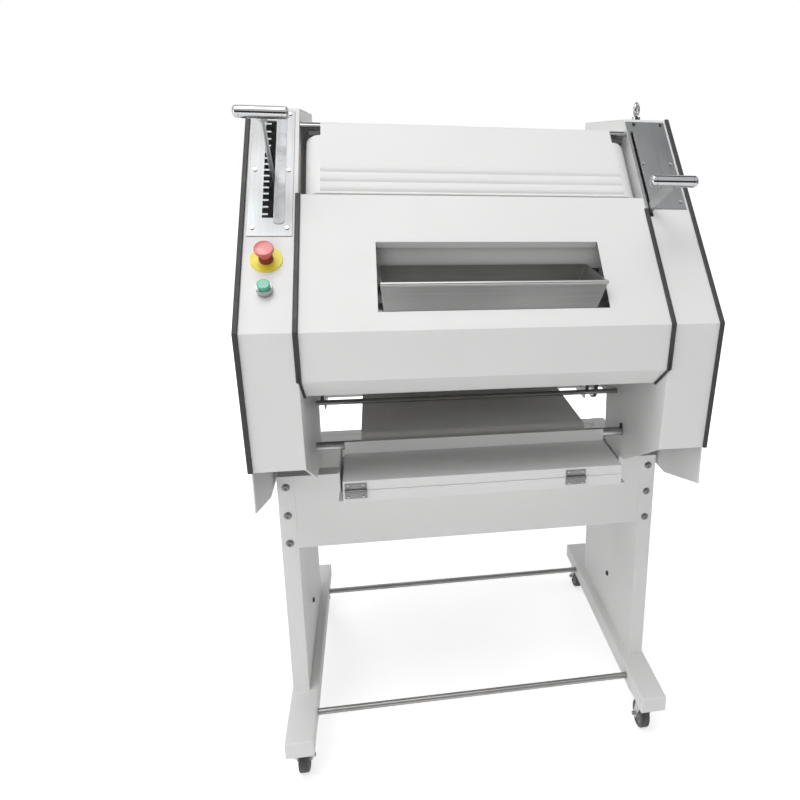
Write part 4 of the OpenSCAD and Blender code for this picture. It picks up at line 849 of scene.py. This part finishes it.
def toothed_belt(sizes, a, b, radius, x):
    """Belt round two wheels: its inner face is a row of teeth, where a wave along the belt is high."""
    run = 2 * np.linalg.norm(b - a) + 2 * np.pi * radius
    teeth = int(run / sizes.tooth_pitch)
    path, normal, s = loop_path(a, b, radius + sizes.drive_thickness / 2, teeth * 8)
    wave = np.cos(2 * np.pi * teeth * np.arange(len(s)) / len(s))
    half = sizes.drive_thickness / 2
    inner = -half + half * 0.8 * (wave < -0.1)
    outer = half - half * 0.06 * (wave < 0)
    points = np.zeros((len(s), 4, 3))
    points[:, :, 0] = x + sizes.drive_width * np.array([0.0, 1.0, 1.0, 0.0])
    for i, lift in enumerate((inner, inner, outer, outer)):
        points[:, i, 1:] = path + lift[:, None] * normal
    return surface(points, True, True)


def motor_fins(sizes, axis, x0, x1):
    """Cooling fins: flat ribs along the motor, spread round it but for the side of the terminal box."""
    angles = np.radians(np.linspace(130, 410, sizes.fin_count))
    radii = sizes.motor_radius + np.array([-sizes.fin_sink, sizes.fin_height])
    length = x1 - x0
    x = np.array([x0 + length * 0.14, x1 - length * 0.1])
    out = np.stack([np.cos(angles), np.sin(angles)], 1)
    side = np.stack([-out[:, 1], out[:, 0]], 1) * sizes.fin_width / 2
    corner = np.array([(0, -1.0), (0, 1.0), (1, 0.6), (1, -0.6)])
    reach = radii[corner[:, 0].astype(int)]
    ring = axis + out[:, None] * reach[None, :, None] + side[:, None] * corner[None, :, 1:]
    points = np.zeros((len(angles), 4, 4, 3))
    points[:, :, :, 0] = x[[0, 0, 1, 1]][None, :, None]
    middle = ring.mean(1, keepdims=True)
    points[:, :, :, 1:] = ring[:, None]
    points[:, 0, :, 1:] = middle
    points[:, 3, :, 1:] = middle
    return joined([surface(p, close_columns=True) for p in points])


def fan_cowl(sizes, end, rows=6):
    """Cap over the fan: a short drum whose end is ringed by grooves."""
    radius = sizes.motor_radius * 1.03
    rings = np.linspace(0.9, 0.15, rows * 4)
    depth = sizes.cowl_groove * (np.arange(rows * 4) % 4 < 2)
    face = np.stack([depth, radius * rings], 1)
    rim = [(radius * 0.4, radius * 0.97), (radius * 0.4, radius), (sizes.cowl_edge, radius),
           (sizes.cowl_lip, radius * 0.97)]
    profile = np.concatenate([[(radius * 0.4, 0.0)], rim, face, [(0.0, 0.0)]])
    return lathe(profile, np.array(end), RIGHT, 56)


class MOULDER_OT_scale_ticks(MoulderOperator):
    """Printed ticks of the scale beside the comb"""

    bl_idname = "moulder.scale_ticks"
    bl_label = "Scale ticks"

    def execute(self, context):
        colours, sizes = self.settings(context)
        low, high, middle = box_of("scale_strip")
        width = high[0] - low[0]
        thick = sizes.strip_thickness
        length = (high[2] - low[2] - thick * SLOPE_OUT[2]) / SLOPE_UP[2]
        count = int((length - 4 * sizes.tick_pitch) / sizes.tick_pitch)
        ticks = (np.arange(count) - (count - 1) / 2) * sizes.tick_pitch
        reach = np.where(np.arange(count) % 5 == 0, width * 0.5, width * 0.28)
        face = middle + SLOPE_OUT * thick / 2
        start = face - RIGHT * (width / 2 - sizes.tick_inset)
        u = np.array([0.0, 0.0, 1.0, 1.0])
        v = np.array([-0.5, 0.5, 0.5, -0.5]) * sizes.tick_width
        flat = (start + RIGHT * (reach[:, None] * u)[:, :, None]
                + SLOPE_UP * (ticks[:, None] + v)[:, :, None])
        levels = [flat - SLOPE_OUT * sizes.tick_sink, flat + SLOPE_OUT * sizes.tick_rise]
        shrunk = [level.mean(1, keepdims=True) + 0 * level for level in levels]
        grids = np.stack([shrunk[0], *levels, shrunk[1]], 1)
        ink = moulded_plastic("scale_ink", colours.ink, 0.6, 0.0)
        marks = joined([surface(grid, close_columns=True) for grid in grids])
        add_piece("scale_marks", marks, "frame", ink)
        return {"FINISHED"}


# Bolts in the right bracket, from the lowest front corner of the side plate: back, up
BRACKET_BOLTS = np.array([(382.5, 130.0), (382.5, 85.0), (287.5, 177.0)]) * MM
# Bolt in the inner face of a column, from its lowest front corner: back, up
COLUMN_INNER_BOLT = np.array([220.0, 121.0]) * MM
# Screws of a side panel, as shares of the panel's box: back, up
PANEL_SCREW_SHARES = np.array([(0.967, 0.036), (0.967, 0.508), (0.967, 0.968), (0.555, 0.968), (0.084, 0.52),
                               (0.084, 0.215), (0.356, 0.036)])
# Screws of the rear cover, as shares of its height
REAR_SCREW_SHARES = np.array([0.04, 0.35, 0.66, 0.96])


class MOULDER_OT_fasteners(MoulderOperator):
    """Bolts of the columns and brackets, screws of the hinges, panels and rear cover"""

    bl_idname = "moulder.fasteners"
    bl_label = "Fasteners"

    def execute(self, context):
        colours, sizes = self.settings(context)
        chrome = polished_chrome("bolt_chrome", colours.chrome)
        dark = zinc_plate("dark_bolts", colours.dark_bolt)
        self.column_bolts(sizes, zinc_plate("bolt_steel", colours.hinge), dark)
        self.hinge_screws(sizes, chrome)
        low, high, _ = box_of("rear_cover")
        places = [(x, high[1], low[2] + share * (high[2] - low[2]))
                  for x in (low[0] + sizes.rear_screw_inset, high[0] - sizes.rear_screw_inset)
                  for share in REAR_SCREW_SHARES]
        screw = cross_screw(sizes.cover_screw, -FORWARD)
        add_piece("rear_cover_screws", copies(screw, places), "frame", chrome)
        for side, out in (("left", -RIGHT), ("right", RIGHT)):
            low, high, _ = box_of(side + "_outer_panel")
            spots = low[1:] + PANEL_SCREW_SHARES * (high - low)[1:]
            face = low[0] if side == "left" else high[0]
            places = np.column_stack([np.full(len(spots), face), spots])
            screw = cross_screw(sizes.cover_screw, out)
            add_piece(side + "_panel_screws", copies(screw, places), "frame", chrome)
        return {"FINISHED"}

    def column_bolts(self, sizes, zinc, dark):
        low, high, _ = box_of("column_bolts")
        reach = sizes.column_bolt * math.cos(math.radians(30))
        face = box_of("left_column")[0][1]
        places = [(x, face, z) for x in (low[0] + sizes.column_bolt, high[0] - sizes.column_bolt)
                  for z in np.linspace(low[2] + reach, high[2] - reach, 3)]
        head = socket_bolt(sizes.column_bolt, FORWARD)
        add_piece("column_bolt_heads", copies(head, places), "frame", zinc, ["column_bolts"])
        for side, out in (("left", RIGHT), ("right", -RIGHT)):
            low, high, _ = box_of(side + "_column")
            face = high[0] if side == "left" else low[0]
            place = (face, low[1] + COLUMN_INNER_BOLT[0], low[2] + COLUMN_INNER_BOLT[1])
            head = hex_bolt(sizes.bracket_bolt, out)
            add_piece(side + "_column_bolt", copies(head, [place]), "frame", dark)
        corner = box_of("right_side_plate")[0]
        spots = corner[1:] + BRACKET_BOLTS
        places = np.column_stack([np.full(len(spots), corner[0]), spots])
        head = hex_bolt(sizes.bracket_bolt, -RIGHT)
        add_piece("bracket_bolts", copies(head, places), "frame", dark)

    def hinge_screws(self, sizes, chrome):
        leaf = box_of("tray_leaf")[0][1] - sizes.hinge_plate
        low, high, _ = box_of("tray_hinges_folding")
        base = box_of("tray_hinges_fixed")[0]
        hinges = (low[0] + sizes.hinge_length / 2, high[0] - sizes.hinge_length / 2)
        columns = [x + shift * sizes.hinge_length * 0.34 for x in hinges for shift in (-1, 1)]
        screw = cross_screw(sizes.hinge_screw, FORWARD, 40)
        inset = sizes.hinge_screw * 1.6
        upper = [(x, leaf, high[2] - inset) for x in columns]
        lower = [(x, leaf, base[2] + inset) for x in columns]
        add_piece("hinge_screws_folding", copies(screw, upper), "tray_leaf", chrome)
        add_piece("hinge_screws_fixed", copies(screw, lower), "frame", chrome)


# Bolts of a caster plate, from its swivel: to the sides, to front and back
PLATE_BOLT = np.array([21.0, 32.0]) * MM


class MOULDER_OT_casters(MoulderOperator):
    """Tyres, ribbed hubs, axle nuts, plate bolts and brake pedals of the casters"""

    bl_idname = "moulder.casters"
    bl_label = "Casters"

    def execute(self, context):
        colours, sizes = self.settings(context)
        rubber = moulded_rubber("tyre_rubber", colours.tyre, 260.0, 0.35)
        plastic = moulded_plastic("hub_plastic", colours.hub, 0.5, 0.0)
        zinc = zinc_plate("caster_zinc", colours.zinc)
        dress(["left_brake_pedal", "right_brake_pedal"], cast_paint("pedal_enamel", colours.pedal, 0.4),
              sizes.metal_round)
        bolts = []
        for name in CASTERS:
            node = name + "_wheel"
            low, high, middle = box_of(node)
            radius, half = (high[2] - low[2]) / 2, (high[0] - low[0]) / 2
            tread = tyre(radius, half, middle, sizes)
            add_piece(name + "_tyre", tread, node, rubber, [node])
            add_piece(name + "_hub", hub(radius, half, middle), node, plastic, sharp=30.0)
            fork = box_of(name + "_fork")
            nuts = [hex_nut(fork[0][0], middle, -RIGHT, sizes), hex_nut(fork[1][0], middle, RIGHT, sizes)]
            add_piece(name + "_axle_nuts", joined(nuts), name + "_fork", zinc)
            swivel = JOINTS[name + "_swivel"]["pos_m"]
            under = box_of("caster_plates")[1][2] - sizes.plate_thickness
            bolts += [(swivel[0] + i * PLATE_BOLT[0], swivel[1] + j * PLATE_BOLT[1], under)
                      for i in (-1, 1) for j in (-1, 1)]
        head = hex_bolt(sizes.plate_bolt, -UP)
        add_piece("caster_plate_bolts", copies(head, bolts), "frame", zinc)
        return {"FINISHED"}


def hex_nut(x, middle, out, sizes):
    """Nut on the end of an axle."""
    points, quads = hex_bolt(sizes.plate_bolt, out)
    return points + np.array([x, middle[1], middle[2]]) - out * sizes.plate_bolt * 0.75, quads


def tyre(radius, half, middle, sizes):
    """Rubber tyre: a rounded section with two shallow grooves, turned round the axle."""
    inner, side = radius * 0.70, half * 0.86
    shoulder = side * 0.45
    right = arc((side - shoulder, radius - shoulder), shoulder, 0, 90, 7)
    bottom = radius - sizes.tread_groove
    groove = [(side * 0.36, radius), (side * 0.33, bottom), (side * 0.25, bottom), (side * 0.22, radius)]
    lip = [(side * 0.8, inner), (side, inner + sizes.tread_lip)]
    half_section = np.concatenate([lip, right, groove])
    section = np.concatenate([half_section, half_section[::-1] * (-1, 1)])
    return lathe(section, middle, RIGHT, 72, closed=True)


def hub(radius, half, middle, ribs=6):
    """Moulded hub: each face steps from the rim over a hollow with ribs to the boss round the axle."""
    steps = ribs * 24
    angles = around(steps)
    rib = 0.5 + 0.5 * np.tanh(6 * (np.cos(ribs * angles) - 0.55))
    shares = np.array([0.16, 0.16, 0.30, 0.34, 0.38, 0.60, 0.64, 0.68, 0.72])
    deep = np.array([0.0, 1.0, 1.0, 0.7, 0.0, 0.0, 0.4, 0.72, 0.72])
    hollow = np.array([0.0, 0.0, 0.0, 0.3, 1.0, 1.0, 0.6, 0.0, 0.0])
    along = half * (deep[:, None] + hollow[:, None] * (0.25 + 0.35 * rib[None, :]))
    radii = radius * shares[:, None] * np.ones(steps)
    u, v = across(RIGHT)
    out = np.cos(angles)[:, None] * u + np.sin(angles)[:, None] * v
    faces = [middle + sign * along[:, :, None] * RIGHT + radii[:, :, None] * out for sign in (1, -1)]
    points = np.concatenate([faces[0], faces[1][:0:-1]])
    return surface(points, True, True)


# Lamps: place, aim, width and whether reflections show them
LAMPS = (("key", (-2.2, -2.4, 6.0), (0.0, -0.1, 1.1), 3.4, True),
         ("top", (-0.3, -1.2, 6.2), (0.0, -0.1, 1.1), 3.4, True),
         ("front", (-0.9, -5.0, 1.7), (0.0, 0.0, 0.9), 2.4, False),
         ("back", (-2.2, 4.6, 2.6), (0.0, 0.2, 0.9), 2.8, False),
         ("right", (4.4, 0.1, 1.1), (0.0, 0.1, 0.9), 2.4, False),
         ("side", (-4.5, -2.0, 1.4), (0.0, 0.0, 0.8), 2.8, True))
# Dark cards: middle, size and the way they face
CARDS = (("front", (0.0, -4.6, 1.3), (2.6, 7.0), FORWARD),
         ("right", (3.0, -0.8, 1.5), (3.0, 2.4), -RIGHT),
         ("over", (1.15, 0.55, 3.2), (1.4, 1.2), -UP))
CARD_COLOUR = (0.06, 0.06, 0.065)
# Half of the floor's width in metres
FLOOR_HALF = 30.0
# Width of the camera's sensor in millimetres
SENSOR_WIDTH = 36.0


class MOULDER_OT_stage(MoulderOperator):
    """Camera, lamps, floor and white background"""

    bl_idname = "moulder.stage"
    bl_label = "Stage"

    def execute(self, context):
        stage = context.scene.moulder_stage
        context.scene.view_settings.view_transform = "Standard"
        self.camera(context, stage)
        self.floor(stage)
        self.world(context, stage)
        for name, place, aim, size, reflected in LAMPS:
            lamp = self.lamp(name + "_light", place, aim, size, getattr(stage, name))
            lamp.visible_glossy = reflected
        for name, middle, size, out in CARDS:
            self.card("dark_card_" + name, middle, size, out)
        return {"FINISHED"}

    def camera(self, context, stage):
        yaw, pitch, roll = stage.camera_yaw, stage.camera_pitch, stage.camera_roll
        ahead = Vector((math.sin(yaw) * math.cos(pitch), math.cos(yaw) * math.cos(pitch), math.sin(pitch)))
        right = Vector((math.cos(yaw), -math.sin(yaw), 0.0))
        over = right.cross(ahead)
        turned_right = math.cos(roll) * right + math.sin(roll) * over
        turned_up = math.cos(roll) * over - math.sin(roll) * right
        lens = bpy.data.cameras.new("camera")
        size = stage.picture_pixels
        lens.sensor_width = SENSOR_WIDTH
        lens.lens = stage.focal_pixels / size * lens.sensor_width
        lens.shift_x = (size / 2 - stage.axis_pixel[0]) / size
        lens.shift_y = (stage.axis_pixel[1] - size / 2) / size
        camera = bpy.data.objects.new("camera", lens)
        camera.matrix_world = Matrix.Translation(stage.camera_place) @ Matrix(
            (turned_right, turned_up, -ahead)).transposed().to_4x4()
        context.scene.collection.objects.link(camera)
        context.scene.camera = camera

    def floor(self, stage):
        u = np.linspace(-FLOOR_HALF, FLOOR_HALF, 9)
        x, y = np.meshgrid(u, u, indexing="ij")
        material = studio_floor("studio_floor", stage.floor, stage.glow_near, stage.glow_far)
        self.stage_mesh("floor", np.stack([x, y, 0 * x], -1), material)

    def stage_mesh(self, name, points, material):
        flat, quads = surface(points)
        mesh = bpy.data.meshes.new(name)
        mesh.from_pydata(flat.tolist(), [], quads.tolist())
        mesh.materials.append(material)
        made = bpy.data.objects.new(name, mesh)
        bpy.context.scene.collection.objects.link(made)
        return made

    def card(self, name, middle, size, out):
        """A dark card that only reflections see, so that polished metal has dark bands."""
        u, v = across(out)
        s = np.array([-1.0, 1.0])
        points = np.array(middle) + s[:, None, None] * size[0] / 2 * u + s[None, :, None] * size[1] / 2 * v
        made = self.stage_mesh(name, points, Finish(name, CARD_COLOUR, 0.9).material)
        for ray in ("camera", "diffuse", "shadow", "transmission"):
            setattr(made, "visible_" + ray, False)

    def world(self, context, stage):
        """White to the camera and to reflections, a plain grey sky to everything else."""
        world = bpy.data.worlds.new("studio")
        context.scene.world = world
        world.use_nodes = True
        tree = world.node_tree
        sky = tree.nodes["Background"]
        sky.inputs["Color"].default_value = (1.0, 1.0, 1.0, 1.0)
        strength = add_node(tree, "ShaderNodeMapRange",
                            {"Value": looked_at(tree), "To Min": stage.sky, "To Max": 1.0})
        tree.links.new(strength.outputs["Result"], sky.inputs["Strength"])

    def lamp(self, name, place, aim, size, power):
        data = bpy.data.lights.new(name, "AREA")
        data.shape = "DISK"
        data.size = size
        data.energy = power
        made = bpy.data.objects.new(name, data)
        ahead = (Vector(aim) - Vector(place)).normalized()
        made.matrix_world = Matrix.Translation(place) @ ahead.to_track_quat("-Z", "Y").to_matrix().to_4x4()
        bpy.context.scene.collection.objects.link(made)
        return made


OPERATORS = (MOULDER_OT_painted_sheet, MOULDER_OT_metalwork, MOULDER_OT_rubber_trims, MOULDER_OT_buttons,
             MOULDER_OT_lever_handles, MOULDER_OT_felt_belt, MOULDER_OT_drive, MOULDER_OT_scale_ticks,
             MOULDER_OT_fasteners, MOULDER_OT_casters, MOULDER_OT_stage)


class MOULDER_PT_panel(bpy.types.Panel):
    """Lists the pieces of the moulder and their settings"""

    bl_idname = "MOULDER_PT_panel"
    bl_label = "Baguette moulder"
    bl_space_type = "VIEW_3D"
    bl_region_type = "UI"
    bl_category = "Moulder"

    def draw(self, context):
        for operator in OPERATORS:
            self.layout.operator(operator.bl_idname)
        for scene_name, _ in GROUPS:
            group = getattr(context.scene, scene_name)
            box = self.layout.box()
            for name in group.__annotations__:
                box.prop(group, name)


GROUPS = (("moulder_finishes", MoulderFinishes), ("moulder_sizes", MoulderSizes),
          ("moulder_stage", MoulderStage))
CLASSES = (*(group for _, group in GROUPS), *OPERATORS, MOULDER_PT_panel)


def register():
    for made in CLASSES:
        bpy.utils.register_class(made)
    for name, group in GROUPS:
        setattr(bpy.types.Scene, name, PointerProperty(type=group))


def unregister():
    for name, _ in GROUPS:
        delattr(bpy.types.Scene, name)
    for made in reversed(CLASSES):
        bpy.utils.unregister_class(made)


def main():
    register()
    for operator in OPERATORS:
        group, name = operator.bl_idname.split(".")
        getattr(getattr(bpy.ops, group), name)()


if __name__ == "__main__":
    main()
